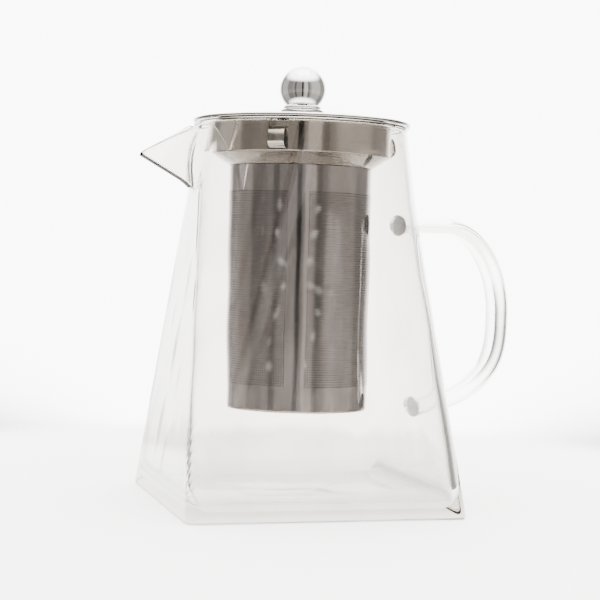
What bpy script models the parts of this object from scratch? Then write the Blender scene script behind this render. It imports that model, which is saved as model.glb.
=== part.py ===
"""Glass teapot with a lift-out steel infuser and a domed steel lid.

Units are metres and +Z is up. The origin is the middle of the flat face the pot stands on, the spout
points along -X and the handle is on the +X face. Touching pieces keep FIT_GAP between their surfaces.
"""

from math import acos, asin, atan2, cos, degrees, hypot, pi, radians, sin, sqrt, tan

import bmesh
import bpy
from mathutils import Vector

FIT_GAP = 0.0003

# Blown glass pot: a rounded square at the base that grows into a round neck
BASE_WIDTH = 0.110
BASE_CORNER_RADIUS = 0.004
BASE_EDGE_RADIUS = 0.0012
SHOULDER_HEIGHT = 0.122
SHOULDER_WIDTH = 0.0876
SHOULDER_CORNER_RADIUS = 0.0355
POT_HEIGHT = 0.150
NECK_TAPER = 0.0013
RIM_WALL = 0.0019
GLASS_WALL = 0.0023
GLASS_FLOOR = 0.0032
INNER_FLOOR_RADIUS = 0.004
LEAST_CORNER_RADIUS = 0.0008

# Pulled spout: a beak with a straight keel and a lip that slopes down to its tip
SPOUT_REACH = 0.0655
SPOUT_TIP_DROP = 0.0140
SPOUT_ROOT_DROP = 0.0261
SPOUT_HALF_ANGLE = radians(17.0)
SPOUT_WALL = 0.0012

# Handle: a flat glass band fused to the wall at two pads
HANDLE_WIDTH = 0.0176
HANDLE_THICKNESS = 0.0064
HANDLE_REACH = 0.0874
HANDLE_TOP_HEIGHT = 0.1126
HANDLE_BOTTOM_HEIGHT = 0.0380
HANDLE_BOW_HEIGHT = 0.0770
HANDLE_TOP_STRAIGHT = 0.0190
HANDLE_UPPER_BEND = (1.10, 1.00)
HANDLE_LOWER_BEND = (1.25, 0.64)
HANDLE_PAD_WIDTH = 0.0196
HANDLE_PAD_HEIGHT = 0.0086
HANDLE_PAD_LENGTH = 0.0060

# Infuser: a collar that hangs on the rim, a rolled tube and a pressed base
SHEET = 0.0005
COLLAR_SPRING_GAP = 0.0046
COLLAR_DEPTH = 0.0120
CONE_DEPTH = 0.0045
TUBE_RADIUS = 0.0288
INFUSER_DEPTH = 0.1122
FLANGE_OVERHANG = 0.0008
FLANGE_ROLL_RADIUS = 0.0009
SPIGOT_LENGTH = 0.0035
INFUSER_BASE_THICKNESS = 0.0008
INFUSER_BASE_RIM = 0.0035

# Springs: three leaves bent out of the collar that grip the neck
SPRING_COUNT = 3
SPRING_WIDTH = 0.0062
SPRING_SLOT = 0.0006
SPRING_HEIGHT = 0.0078
SPRING_PEAK_RISE = 0.0030
SPRING_TIP_LEAN = 0.0016
SPRING_WINDOW_HEAD = 0.0034

# Lid: a domed cover with a rolled edge, a locating skirt and a ball knob
LID_OVERHANG = 0.0013
LID_SHEET = 0.0006
LID_ROLL_RADIUS = 0.0007
LID_DOME_RISE = 0.0048
LID_BRIM_WIDTH = 0.0048
SKIRT_DEPTH = 0.0075
SKIRT_TURN_IN = 0.0040
KNOB_RADIUS = 0.0093
KNOB_RING_RADIUS = 0.0077
KNOB_RING_HEIGHT = 0.0012
KNOB_SEAT_RADIUS = 0.0066
SCREW_RADIUS = 0.0020
SCREW_HEAD_RADIUS = 0.0038
SCREW_HEAD_HEIGHT = 0.0022
SCREW_GRIP = 0.0070
WASHER_RADIUS = 0.0050
WASHER_HEIGHT = 0.0008

# Mesh fineness
TURN_STEPS = 48
SMALL_TURN_STEPS = 32
CORNER_COLUMNS = 8
SPOUT_COLUMN_STEP = radians(2.0)
SPOUT_COLUMNS = 13
CORNER_CROWDING = 1.8
WALL_ROWS = 8
NECK_ROWS = 6
ROUND_ROWS = 3
LIP_ROWS = 5
STRAIGHT_ROWS = 5
HANDLE_ROWS = 14
HANDLE_SIDES = 20
DOME_ROWS = 6
SPRING_BEND_ROWS = 4
SPRING_LEAN_ROWS = 3
BALL_ROWS = 13
SMOOTH_ANGLE = radians(35.0)

# Sizes that follow from the ones above
RIM_RADIUS = SHOULDER_WIDTH / 2 - NECK_TAPER
BORE_RADIUS = RIM_RADIUS - RIM_WALL
LIP_HEIGHT = POT_HEIGHT - RIM_WALL / 2
SPOUT_TIP_HEIGHT = POT_HEIGHT - SPOUT_TIP_DROP
SPOUT_ROOT_HEIGHT = POT_HEIGHT - SPOUT_ROOT_DROP
FLANGE_UNDERSIDE = POT_HEIGHT + FIT_GAP
FLANGE_RADIUS = RIM_RADIUS + FLANGE_OVERHANG
COLLAR_RADIUS = BORE_RADIUS - COLLAR_SPRING_GAP
COLLAR_BOTTOM = FLANGE_UNDERSIDE - COLLAR_DEPTH
CONE_BOTTOM = COLLAR_BOTTOM - CONE_DEPTH
TUBE_TOP = CONE_BOTTOM - FIT_GAP
TUBE_BORE = TUBE_RADIUS - SHEET
SPIGOT_RADIUS = TUBE_BORE - FIT_GAP
INFUSER_BOTTOM = POT_HEIGHT - INFUSER_DEPTH
WINDOW_BOTTOM = COLLAR_BOTTOM + SHEET
SPRING_ROOT = WINDOW_BOTTOM + FIT_GAP + SHEET / 2
SPRING_PEAK_RADIUS = BORE_RADIUS - FIT_GAP
LID_RADIUS = RIM_RADIUS + LID_OVERHANG
LID_SEAT = FLANGE_UNDERSIDE + SHEET + FIT_GAP
LID_BRIM_TOP = LID_SEAT + 2 * LID_ROLL_RADIUS
LID_TOP = LID_BRIM_TOP + LID_DOME_RISE
DOME_EDGE = LID_RADIUS - LID_BRIM_WIDTH
DOME_SPHERE = (DOME_EDGE**2 + LID_DOME_RISE**2) / (2 * LID_DOME_RISE)
KNOB_SEAT = LID_TOP + FIT_GAP + KNOB_RING_HEIGHT + FIT_GAP


def make_material(name, colour, roughness, metallic=0.0, transmission=0.0):
    """A Principled material."""
    material = bpy.data.materials.new(name)
    material.use_nodes = True
    shader = material.node_tree.nodes["Principled BSDF"]
    shader.inputs["Base Color"].default_value = (*colour, 1.0)
    shader.inputs["Roughness"].default_value = roughness
    shader.inputs["Metallic"].default_value = metallic
    shader.inputs["Transmission Weight"].default_value = transmission
    return material


def add_object(name, bm, material, parent, turn=0.0):
    """Turns a finished bmesh into an object. The mesh is in the parent's frame and turn is about +Z."""
    mesh = bpy.data.meshes.new(name)
    bmesh.ops.recalc_face_normals(bm, faces=bm.faces)
    bm.to_mesh(mesh)
    bm.free()
    mesh.materials.append(material)
    mesh.shade_smooth()
    mesh.set_sharp_from_angle(angle=SMOOTH_ANGLE)
    item = bpy.data.objects.new(name, mesh)
    bpy.context.scene.collection.objects.link(item)
    item.parent = parent
    item.rotation_euler = (0.0, 0.0, turn)
    return item


def add_empty(name, location, parent=None):
    """An empty that stands for a moving body, at its joint."""
    empty = bpy.data.objects.new(name, None)
    empty.location = location
    empty.parent = parent
    bpy.context.scene.collection.objects.link(empty)
    return empty


def loft(rings, closed=False, capped=False):
    """Joins rings of equal length with faces. A ring of one point is a pole.

    closed joins the last ring to the first, and capped shuts both ends with one flat face each.
    """
    bm = bmesh.new()
    loops = [[bm.verts.new(point) for point in ring] for ring in rings]
    pairs = list(zip(loops, loops[1:]))
    if closed:
        pairs.append((loops[-1], loops[0]))
    for lower, upper in pairs:
        count = max(len(lower), len(upper))
        for i in range(count):
            j = (i + 1) % count
            corners = [
                lower[i % len(lower)],
                lower[j % len(lower)],
                upper[j % len(upper)],
                upper[i % len(upper)],
            ]
            bm.faces.new(list(dict.fromkeys(corners)))
    if capped:
        bm.faces.new(loops[0])
        bm.faces.new(loops[-1])
    return bm


def turned(profile, steps, closed=True):
    """A solid of revolution about +Z from (radius, height) points. A radius of 0 is a pole."""
    rings = []
    for radius, height in profile:
        if radius == 0.0:
            rings.append([Vector((0.0, 0.0, height))])
            continue
        angles = [2 * pi * i / steps for i in range(steps)]
        rings.append([Vector((radius * cos(a), radius * sin(a), height)) for a in angles])
    return loft(rings, closed)


def arc(centre_radius, centre_height, radius, start, end, rows):
    """Points (radius, height) along an arc, from angle start to end in degrees."""
    points = []
    for i in range(rows + 1):
        angle = radians(start + (end - start) * i / rows)
        points.append((centre_radius + radius * cos(angle), centre_height + radius * sin(angle)))
    return points


# ---------------------------------------------------------------- glass pot


def rounded_square(angle, half_width, corner_radius):
    """Distance from the axis to a rounded square, in the direction angle."""
    turn = abs((angle + pi / 4) % (pi / 2) - pi / 4)
    centre = half_width - corner_radius
    if half_width * tan(turn) <= centre:
        return half_width / cos(turn)
    reach = corner_radius**2 - centre**2 * (1 - sin(2 * turn))
    return centre * (cos(turn) + sin(turn)) + sqrt(max(reach, 0.0))


def wall_section(height):
    """Half width and corner radius of the pot's outer wall at a height."""
    half = BASE_WIDTH / 2
    if height <= SHOULDER_HEIGHT:
        share = height / SHOULDER_HEIGHT
        width = half + (SHOULDER_WIDTH / 2 - half) * share
        corner = BASE_CORNER_RADIUS + (SHOULDER_CORNER_RADIUS - BASE_CORNER_RADIUS) * share
        return width, corner
    share = (height - SHOULDER_HEIGHT) / (POT_HEIGHT - SHOULDER_HEIGHT)
    width = SHOULDER_WIDTH / 2 + (RIM_RADIUS - SHOULDER_WIDTH / 2) * share
    corner = SHOULDER_CORNER_RADIUS + (RIM_RADIUS - SHOULDER_CORNER_RADIUS) * share
    return width, corner


def wall_thickness(height):
    """The glass thins from the shoulder to the rim."""
    if height <= SHOULDER_HEIGHT:
        return GLASS_WALL
    share = (height - SHOULDER_HEIGHT) / (POT_HEIGHT - SHOULDER_HEIGHT)
    return GLASS_WALL + (RIM_WALL - GLASS_WALL) * share


def wall_radius(angle, height, inset):
    """Distance from the axis to the wall, moved in by inset."""
    half_width, corner = wall_section(height)
    corner = min(max(corner - inset, LEAST_CORNER_RADIUS), half_width - inset)
    return rounded_square(angle, half_width - inset, corner)


def keel_slope():
    """How far the keel runs out for each metre it rises."""
    root = wall_section(SPOUT_ROOT_HEIGHT)[0]
    return (SPOUT_REACH - root) / (SPOUT_TIP_HEIGHT - SPOUT_ROOT_HEIGHT)


def keel_reach(height, inside):
    """Distance from the axis to the spout's keel line, carried on past the tip."""
    root = wall_section(SPOUT_ROOT_HEIGHT)[0]
    reach = root + keel_slope() * (height - SPOUT_ROOT_HEIGHT)
    return reach - SPOUT_WALL / sin(SPOUT_HALF_ANGLE) if inside else reach


def from_spout(angle):
    """The angle from the spout's direction, 0 to pi."""
    return abs((angle % (2 * pi)) - pi)


def side_factor(turn):
    """A spout side's distance from the axis at turn from the keel, for a keel at distance 1."""
    return sin(SPOUT_HALF_ANGLE) / sin(turn + SPOUT_HALF_ANGLE)


def pot_radius(angle, height, inside):
    """Distance from the axis to the glass, spout included."""
    inset = wall_thickness(height) if inside else 0.0
    radius = wall_radius(angle, height, inset)
    turn = from_spout(angle)
    if height > SPOUT_ROOT_HEIGHT and turn < pi / 2:
        radius = max(radius, keel_reach(height, inside) * side_factor(turn))
    return radius


def lip_height(angle, inside):
    """Height where the glass ends at the lip. The spout's lip lies on a plane that slopes to its tip."""
    turn = from_spout(angle)
    if turn >= pi / 2:
        return LIP_HEIGHT
    slope = (LIP_HEIGHT - SPOUT_TIP_HEIGHT) / (SPOUT_REACH - RIM_RADIUS)
    share = side_factor(turn) * cos(turn)
    start = keel_reach(0.0, inside)
    height = LIP_HEIGHT + RIM_RADIUS * slope - share * slope * start
    height /= 1 + share * slope * keel_slope()
    return min(LIP_HEIGHT, height)


def pot_columns():
    """Angles of the mesh columns: close at the four corners and across the spout."""
    columns = set()
    for quarter in range(4):
        for i in range(CORNER_COLUMNS + 1):
            offset = (pi / 4) * (1 - (1 - i / CORNER_COLUMNS) ** CORNER_CROWDING)
            for side in (-1, 1):
                columns.add(round((quarter * pi / 2 + side * offset) % (2 * pi), 6))
    span = SPOUT_COLUMNS * SPOUT_COLUMN_STEP
    columns = {angle for angle in columns if from_spout(angle) > span}
    for i in range(-SPOUT_COLUMNS, SPOUT_COLUMNS + 1):
        columns.add(pi + i * SPOUT_COLUMN_STEP)
    return sorted(columns)


def ring_at(columns, radius_of, height_of):
    """One ring of pot points."""
    ring = []
    for angle in columns:
        radius = radius_of(angle)
        ring.append(Vector((radius * cos(angle), radius * sin(angle), height_of(angle))))
    return ring


def edge_rings(columns, base_height, radius, thickness):
    """Rings round a floor edge: a quarter circle from the floor at base_height up to the wall."""
    rings = []
    for i in range(ROUND_ROWS + 1):
        angle = (pi / 2) * i / ROUND_ROWS
        height = base_height + radius * (1 - cos(angle))
        inset = thickness + radius * (1 - sin(angle))
        rings.append(ring_at(columns, lambda a: wall_radius(a, height, inset), lambda a: height))
    return rings


def side_rings(columns, low, inside):
    """Rings from height low up to the lip, level below the spout and following the lip above it."""
    rings = []
    for i in range(1, WALL_ROWS + 1):
        height = low + (SPOUT_ROOT_HEIGHT - low) * i / WALL_ROWS
        rings.append(ring_at(columns, lambda a: pot_radius(a, height, inside), lambda a: height))
    for i in range(1, NECK_ROWS + 1):
        share = i / NECK_ROWS

        def height_of(angle):
            return SPOUT_ROOT_HEIGHT + (lip_height(angle, inside) - SPOUT_ROOT_HEIGHT) * share

        rings.append(ring_at(columns, lambda a: pot_radius(a, height_of(a), inside), height_of))
    return rings


def lip_rings(outer, inner):
    """Rings over the fire-polished lip, from the outer edge to the inner one."""
    rings = []
    for i in range(1, LIP_ROWS):
        angle = pi * i / LIP_ROWS
        ring = []
        for start, end in zip(outer, inner):
            middle = (start + end) / 2
            across = (start - end) / 2
            flat = Vector((across.x, across.y, 0.0))
            along = across.z * flat.normalized()
            up = Vector((-along.x, -along.y, flat.length))
            ring.append(middle + across * cos(angle) + up * sin(angle))
        rings.append(ring)
    return rings


def make_glass_body(material, parent):
    columns = pot_columns()
    outside = edge_rings(columns, 0.0, BASE_EDGE_RADIUS, 0.0)
    outside += side_rings(columns, BASE_EDGE_RADIUS, False)
    inside = edge_rings(columns, GLASS_FLOOR, INNER_FLOOR_RADIUS, GLASS_WALL)
    inside += side_rings(columns, GLASS_FLOOR + INNER_FLOOR_RADIUS, True)
    rings = outside + lip_rings(outside[-1], inside[-1])
    rings += reversed(inside)
    return add_object("glass_body", loft(rings, capped=True), material, parent)


def handle_ends():
    """The two points on the handle's centre line where it meets the wall, just clear of it."""
    top = wall_section(HANDLE_TOP_HEIGHT)[0] + FIT_GAP
    bottom = wall_section(HANDLE_BOTTOM_HEIGHT)[0] + FIT_GAP
    return Vector((top, 0.0, HANDLE_TOP_HEIGHT)), Vector((bottom, 0.0, HANDLE_BOTTOM_HEIGHT))


def handle_line():
    """Centre line from the upper pad to the lower one: a bow of two rounded quarters."""
    top, bottom = handle_ends()
    start = top.x + HANDLE_TOP_STRAIGHT
    points = [top.lerp(Vector((start, 0.0, top.z)), i / STRAIGHT_ROWS) for i in range(STRAIGHT_ROWS)]
    for i in range(HANDLE_ROWS):
        angle = (pi / 2) * (1 - i / HANDLE_ROWS)
        across = cos(angle) ** HANDLE_UPPER_BEND[0]
        up = sin(angle) ** HANDLE_UPPER_BEND[1]
        x = start + (HANDLE_REACH - start) * across
        z = HANDLE_BOW_HEIGHT + (HANDLE_TOP_HEIGHT - HANDLE_BOW_HEIGHT) * up
        points.append(Vector((x, 0.0, z)))
    for i in range(HANDLE_ROWS + 1):
        angle = (pi / 2) * i / HANDLE_ROWS
        across = max(cos(angle), 0.0) ** HANDLE_LOWER_BEND[0]
        down = sin(angle) ** HANDLE_LOWER_BEND[1]
        x = bottom.x + (HANDLE_REACH - bottom.x) * across
        z = HANDLE_BOW_HEIGHT - (HANDLE_BOW_HEIGHT - HANDLE_BOTTOM_HEIGHT) * down
        points.append(Vector((x, 0.0, z)))
    return points


def make_glass_handle(material, parent):
    line = handle_line()
    lean = atan2(BASE_WIDTH - SHOULDER_WIDTH, 2 * SHOULDER_HEIGHT)
    out = Vector((cos(lean), 0.0, sin(lean)))
    run = [0.0]
    for before, after in zip(line, line[1:]):
        run.append(run[-1] + (after - before).length)
    rings = []
    for i, centre in enumerate(line):
        if i == 0:
            along = out
        elif i == len(line) - 1:
            along = -out
        else:
            along = (line[i + 1] - line[i - 1]).normalized()
        depth = Vector((0.0, 1.0, 0.0)).cross(along).normalized()
        from_pad = min(run[i], run[-1] - run[i]) / HANDLE_PAD_LENGTH
        flare = max(0.0, 1 - from_pad) ** 2
        width = HANDLE_WIDTH + (HANDLE_PAD_WIDTH - HANDLE_WIDTH) * flare
        height = HANDLE_THICKNESS + (HANDLE_PAD_HEIGHT - HANDLE_THICKNESS) * flare
        ring = []
        for k in range(HANDLE_SIDES):
            angle = 2 * pi * k / HANDLE_SIDES
            side = Vector((0.0, width / 2 * cos(angle), 0.0))
            ring.append(centre + side + depth * (height / 2 * sin(angle)))
        rings.append(ring)
    return add_object("glass_handle", loft(rings, capped=True), material, parent)


# ---------------------------------------------------------------- infuser


def make_collar(material, parent):
    """Pressed collar: rolled flange on the rim, straight wall, cone and a spigot for the tube."""
    top = FLANGE_UNDERSIDE + SHEET
    inner = COLLAR_RADIUS - SHEET
    roll = FLANGE_ROLL_RADIUS
    cone_run = COLLAR_RADIUS - TUBE_RADIUS
    thickness_down = SHEET * hypot(cone_run, CONE_DEPTH) / cone_run
    profile = [
        (FLANGE_RADIUS, top),
        (FLANGE_RADIUS, FLANGE_UNDERSIDE),
    ]
    profile += arc(COLLAR_RADIUS + roll, FLANGE_UNDERSIDE - roll, roll, 90, 180, ROUND_ROWS)
    profile += [
        (COLLAR_RADIUS, COLLAR_BOTTOM),
        (TUBE_RADIUS, CONE_BOTTOM),
        (SPIGOT_RADIUS, CONE_BOTTOM),
        (SPIGOT_RADIUS, CONE_BOTTOM - SPIGOT_LENGTH),
        (SPIGOT_RADIUS - SHEET, CONE_BOTTOM - SPIGOT_LENGTH),
        (SPIGOT_RADIUS - SHEET, CONE_BOTTOM + thickness_down / 2),
        (TUBE_RADIUS - SHEET, CONE_BOTTOM + thickness_down),
        (inner, COLLAR_BOTTOM + thickness_down),
    ]
    profile += arc(inner + roll + SHEET, top - roll - SHEET, roll + SHEET, 180, 90, ROUND_ROWS)
    collar = add_object("infuser_collar", turned(profile, TURN_STEPS), material, parent)
    for number in range(SPRING_COUNT):
        add_window_cutter(collar, number, parent)
    return collar


def spring_angle(number):
    return 2 * pi * number / SPRING_COUNT


def add_window_cutter(collar, number, parent):
    """Cuts the opening a spring is bent out of."""
    low = WINDOW_BOTTOM
    high = SPRING_ROOT + SPRING_HEIGHT + SPRING_WINDOW_HEAD
    width = SPRING_WIDTH + 2 * SPRING_SLOT
    depth = COLLAR_RADIUS - COLLAR_RADIUS * cos(asin(width / (2 * COLLAR_RADIUS))) + 4 * SHEET
    bm = bmesh.new()
    bmesh.ops.create_cube(bm, size=1.0)
    bmesh.ops.scale(bm, vec=(depth, width, high - low), verts=bm.verts)
    bmesh.ops.translate(bm, vec=(COLLAR_RADIUS - SHEET / 2, 0.0, (high + low) / 2), verts=bm.verts)
    cutter = add_object(f"window_cutter_{number}", bm, collar.data.materials[0], parent, spring_angle(number))
    cutter.hide_render = True
    cutter.display_type = "WIRE"
    cut = collar.modifiers.new(f"window_{number}", "BOOLEAN")
    cut.operation = "DIFFERENCE"
    cut.solver = "EXACT"
    cut.object = cutter


def spring_profile():
    """Middle line of a leaf as (radius, height above the root): a quarter turn out, then a lean back in."""
    root = COLLAR_RADIUS - SHEET / 2
    peak = SPRING_PEAK_RADIUS - SHEET / 2
    points = []
    for i in range(SPRING_BEND_ROWS + 1):
        angle = (pi / 2) * i / SPRING_BEND_ROWS
        points.append((root + (peak - root) * sin(angle), SPRING_PEAK_RISE * (1 - cos(angle))))
    for i in range(1, SPRING_LEAN_ROWS + 1):
        share = i / SPRING_LEAN_ROWS
        height = SPRING_PEAK_RISE + (SPRING_HEIGHT - SPRING_PEAK_RISE) * share
        points.append((peak - SPRING_TIP_LEAN * share**2, height))
    return points


def make_spring(name, number, material, parent):
    """A leaf spring. Its origin is the bend at its root, which it flexes about."""
    line = [Vector((radius, 0.0, height)) for radius, height in spring_profile()]
    origin = line[0]
    sections = []
    for i, point in enumerate(line):
        before = line[max(i - 1, 0)]
        after = line[min(i + 1, len(line) - 1)]
        along = (after - before).normalized()
        out = Vector((along.z, 0.0, -along.x)) * (SHEET / 2)
        half = Vector((0.0, SPRING_WIDTH / 2, 0.0))
        middle = point - origin
        sections.append([middle + out - half, middle + out + half, middle - out + half, middle - out - half])
    return add_object(name, loft(sections, capped=True), material, parent, spring_angle(number))


def make_tube(material, parent):
    """Rolled tube. The fine perforation is left to the surface model."""
    bottom = INFUSER_BOTTOM + INFUSER_BASE_THICKNESS + FIT_GAP
    profile = [
        (TUBE_RADIUS, TUBE_TOP),
        (TUBE_RADIUS, bottom),
        (TUBE_BORE, bottom),
        (TUBE_BORE, TUBE_TOP),
    ]
    return add_object("infuser_tube", turned(profile, TURN_STEPS), material, parent)


def make_infuser_base(material, parent):
    """Pressed disc that closes the tube, with a rim that stands inside it."""
    top = INFUSER_BOTTOM + INFUSER_BASE_THICKNESS
    rim_outer = TUBE_BORE - FIT_GAP
    rim_inner = rim_outer - SHEET
    edge = INFUSER_BASE_THICKNESS / 2
    profile = [(0.0, top), (rim_inner, top), (rim_inner, top + INFUSER_BASE_RIM)]
    profile += [(rim_outer, top + INFUSER_BASE_RIM), (rim_outer, top)]
    profile += arc(TUBE_RADIUS - edge, INFUSER_BOTTOM + edge, edge, 90, -90, 2 * ROUND_ROWS)
    profile.append((0.0, INFUSER_BOTTOM))
    bm = turned(profile, TURN_STEPS, closed=False)
    return add_object("infuser_base", bm, material, parent)


# ---------------------------------------------------------------- lid


def dome_height(radius, sink):
    """Height of the cover's dome at a radius, moved down by sink."""
    return LID_TOP - sink - (DOME_SPHERE - sqrt(DOME_SPHERE**2 - radius**2))


def dome_profile(inner_radius, sink):
    """The dome from a hole of inner_radius out to the brim, moved down by sink."""
    points = []
    for i in range(DOME_ROWS + 1):
        radius = inner_radius + (DOME_EDGE - inner_radius) * i / DOME_ROWS
        points.append((radius, dome_height(radius, sink)))
    return points


def make_lid_cover(material, parent):
    """Domed cover with a flat brim and a rolled edge."""
    hole = SCREW_RADIUS + FIT_GAP
    roll_centre = LID_RADIUS - LID_ROLL_RADIUS
    profile = dome_profile(hole, 0.0)
    profile += arc(roll_centre, LID_SEAT + LID_ROLL_RADIUS, LID_ROLL_RADIUS, 90, -90, 2 * ROUND_ROWS)
    profile.append((roll_centre - LID_ROLL_RADIUS, LID_BRIM_TOP - LID_SHEET))
    profile += reversed(dome_profile(hole, LID_SHEET))
    return add_object("lid_cover", turned(profile, TURN_STEPS), material, parent)


def make_lid_skirt(material, parent):
    """Ring under the cover that locates the lid in the collar."""
    outer = COLLAR_RADIUS - SHEET - FIT_GAP
    inner = outer - SHEET
    low = LID_SEAT - SKIRT_DEPTH
    tab = outer - SKIRT_TURN_IN
    sink = LID_SHEET + FIT_GAP
    profile = [
        (outer, dome_height(outer, sink)),
        (outer, low),
        (inner, low),
        (inner, dome_height(inner, sink + SHEET)),
        (tab, dome_height(tab, sink + SHEET)),
        (tab, dome_height(tab, sink)),
    ]
    return add_object("lid_skirt", turned(profile, TURN_STEPS), material, parent)


def make_knob_ring(material, parent):
    """Collar under the ball, with a rounded outer edge."""
    low = LID_TOP + FIT_GAP
    hole = SCREW_RADIUS + FIT_GAP
    edge = KNOB_RING_HEIGHT / 2
    profile = arc(KNOB_RING_RADIUS - edge, low + edge, edge, 90, -90, 2 * ROUND_ROWS)
    profile += [(hole, low), (hole, low + KNOB_RING_HEIGHT)]
    return add_object("knob_ring", turned(profile, SMALL_TURN_STEPS), material, parent)


def make_knob_ball(material, parent):
    """Ball with a flat seat and a blind hole for the screw."""
    centre = KNOB_SEAT + sqrt(KNOB_RADIUS**2 - KNOB_SEAT_RADIUS**2)
    hole = SCREW_RADIUS + FIT_GAP
    hole_top = KNOB_SEAT + SCREW_GRIP + FIT_GAP
    start = -degrees(acos(KNOB_SEAT_RADIUS / KNOB_RADIUS))
    profile = [(0.0, hole_top), (hole, hole_top), (hole, KNOB_SEAT)]
    profile += arc(0.0, centre, KNOB_RADIUS, start, 90, BALL_ROWS)[:-1]
    profile.append((0.0, centre + KNOB_RADIUS))
    bm = turned(profile, SMALL_TURN_STEPS, closed=False)
    return add_object("knob_ball", bm, material, parent)


def make_knob_washer(material, parent):
    """Flat washer between the screw head and the cover."""
    high = dome_height(WASHER_RADIUS, LID_SHEET + FIT_GAP)
    low = high - WASHER_HEIGHT
    hole = SCREW_RADIUS + FIT_GAP
    profile = [(WASHER_RADIUS, high), (WASHER_RADIUS, low), (hole, low), (hole, high)]
    return add_object("knob_washer", turned(profile, SMALL_TURN_STEPS), material, parent)


def make_knob_screw(material, parent):
    """Pan head screw that holds the ball from under the lid."""
    washer_low = dome_height(WASHER_RADIUS, LID_SHEET + FIT_GAP) - WASHER_HEIGHT
    head_top = washer_low - FIT_GAP
    head_low = head_top - SCREW_HEAD_HEIGHT
    edge = SCREW_HEAD_HEIGHT / 2
    tip = KNOB_SEAT + SCREW_GRIP
    profile = [(0.0, tip), (SCREW_RADIUS, tip), (SCREW_RADIUS, head_top), (SCREW_HEAD_RADIUS, head_top)]
    profile += arc(SCREW_HEAD_RADIUS - edge, head_low + edge, edge, 0, -90, ROUND_ROWS)
    profile.append((0.0, head_low))
    bm = turned(profile, SMALL_TURN_STEPS, closed=False)
    return add_object("knob_screw", bm, material, parent)


def main():
    for item in list(bpy.data.objects):
        bpy.data.objects.remove(item, do_unlink=True)
    glass = make_material("clear_glass", (0.97, 0.97, 0.96), 0.02, transmission=1.0)
    steel = make_material("polished_steel", (0.56, 0.53, 0.51), 0.12, metallic=1.0)
    mirror = make_material("mirror_steel", (0.78, 0.77, 0.76), 0.05, metallic=1.0)

    pot = add_empty("pot", (0.0, 0.0, 0.0))
    make_glass_body(glass, pot)
    make_glass_handle(glass, pot)

    infuser = add_empty("infuser", (0.0, 0.0, 0.0), pot)
    make_collar(steel, infuser)
    make_tube(steel, infuser)
    make_infuser_base(steel, infuser)
    for number, side in enumerate(("handle", "back", "front")):
        angle = spring_angle(number)
        root = COLLAR_RADIUS - SHEET / 2
        bend = add_empty(f"spring_bend_{side}", (root * cos(angle), root * sin(angle), SPRING_ROOT), infuser)
        make_spring(f"infuser_spring_{side}", number, steel, bend)

    lid = add_empty("lid", (0.0, 0.0, 0.0), infuser)
    make_lid_cover(mirror, lid)
    make_lid_skirt(steel, lid)
    make_knob_ring(mirror, lid)
    make_knob_ball(mirror, lid)
    make_knob_washer(steel, lid)
    make_knob_screw(steel, lid)


main()
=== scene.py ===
"""Surface model of a square glass teapot with a lift-out steel infuser and a domed steel lid.

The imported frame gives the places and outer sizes. Units are metres and +Z is up, the spout points along -X
and the handle is on the +X face.
"""

import logging
from dataclasses import dataclass, field
from enum import Enum
from math import asin, atan2, cos, hypot, pi, radians, sin, tan
from typing import Any, Dict, List, Optional, Sequence, Tuple, Union

import bmesh
import bpy
import numpy as np
from mathutils import Matrix, Vector


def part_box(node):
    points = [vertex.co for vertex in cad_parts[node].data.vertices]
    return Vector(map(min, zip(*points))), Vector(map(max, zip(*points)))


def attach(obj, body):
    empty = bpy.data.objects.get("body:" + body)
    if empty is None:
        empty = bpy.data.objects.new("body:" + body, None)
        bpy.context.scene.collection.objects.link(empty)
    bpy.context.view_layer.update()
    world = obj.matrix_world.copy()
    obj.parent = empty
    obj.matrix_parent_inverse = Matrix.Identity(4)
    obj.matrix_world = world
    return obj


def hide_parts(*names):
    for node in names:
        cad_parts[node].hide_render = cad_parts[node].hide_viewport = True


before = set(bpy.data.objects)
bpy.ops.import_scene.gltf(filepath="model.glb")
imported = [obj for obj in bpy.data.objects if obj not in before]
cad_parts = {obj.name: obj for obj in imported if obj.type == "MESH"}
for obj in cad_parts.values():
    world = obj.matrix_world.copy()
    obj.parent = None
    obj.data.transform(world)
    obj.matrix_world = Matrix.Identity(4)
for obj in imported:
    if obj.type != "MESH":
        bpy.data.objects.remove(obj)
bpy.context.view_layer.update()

LOG = logging.getLogger("teapot")
SMOOTH_ANGLE = radians(32.0)
FIT_GAP = 0.0003
SHEET = 0.0005

Colour = Tuple[float, float, float]
Point2 = Tuple[float, float]
Profile = List[Point2]


class Body(Enum):
    """The moving bodies that pieces ride on."""

    POT = "pot"
    INFUSER = "infuser"
    LID = "lid"


class Slot(Enum):
    """The record's material slots."""

    GLASS = "clear_glass"
    STEEL = "polished_steel"
    MIRROR = "mirror_steel"


class Grain(Enum):
    """Which way the polishing lines of a steel piece run."""

    ROUND = "round the axis"
    UPRIGHT = "along the axis"
    NONE = "no direction"


# ---------------------------------------------------------------- node trees


class Socket:
    """A node output that takes part in Python sums."""

    def __init__(self, graph: "Graph", link: bpy.types.NodeSocket) -> None:
        """Wraps one output."""
        self.graph = graph
        self.link = link

    def __add__(self, other: "Value") -> "Socket":
        """Sum."""
        return self.graph.maths("ADD", self, other)

    __radd__ = __add__

    def __mul__(self, other: "Value") -> "Socket":
        """Product."""
        return self.graph.maths("MULTIPLY", self, other)

    __rmul__ = __mul__

    def __sub__(self, other: "Value") -> "Socket":
        """Difference."""
        return self.graph.maths("SUBTRACT", self, other)

    def __rsub__(self, other: "Value") -> "Socket":
        """Difference the other way round."""
        return self.graph.maths("SUBTRACT", other, self)

    def __truediv__(self, other: "Value") -> "Socket":
        """Quotient."""
        return self.graph.maths("DIVIDE", self, other)


Value = Union[Socket, float]
Shade = Union[Socket, Colour]


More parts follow.
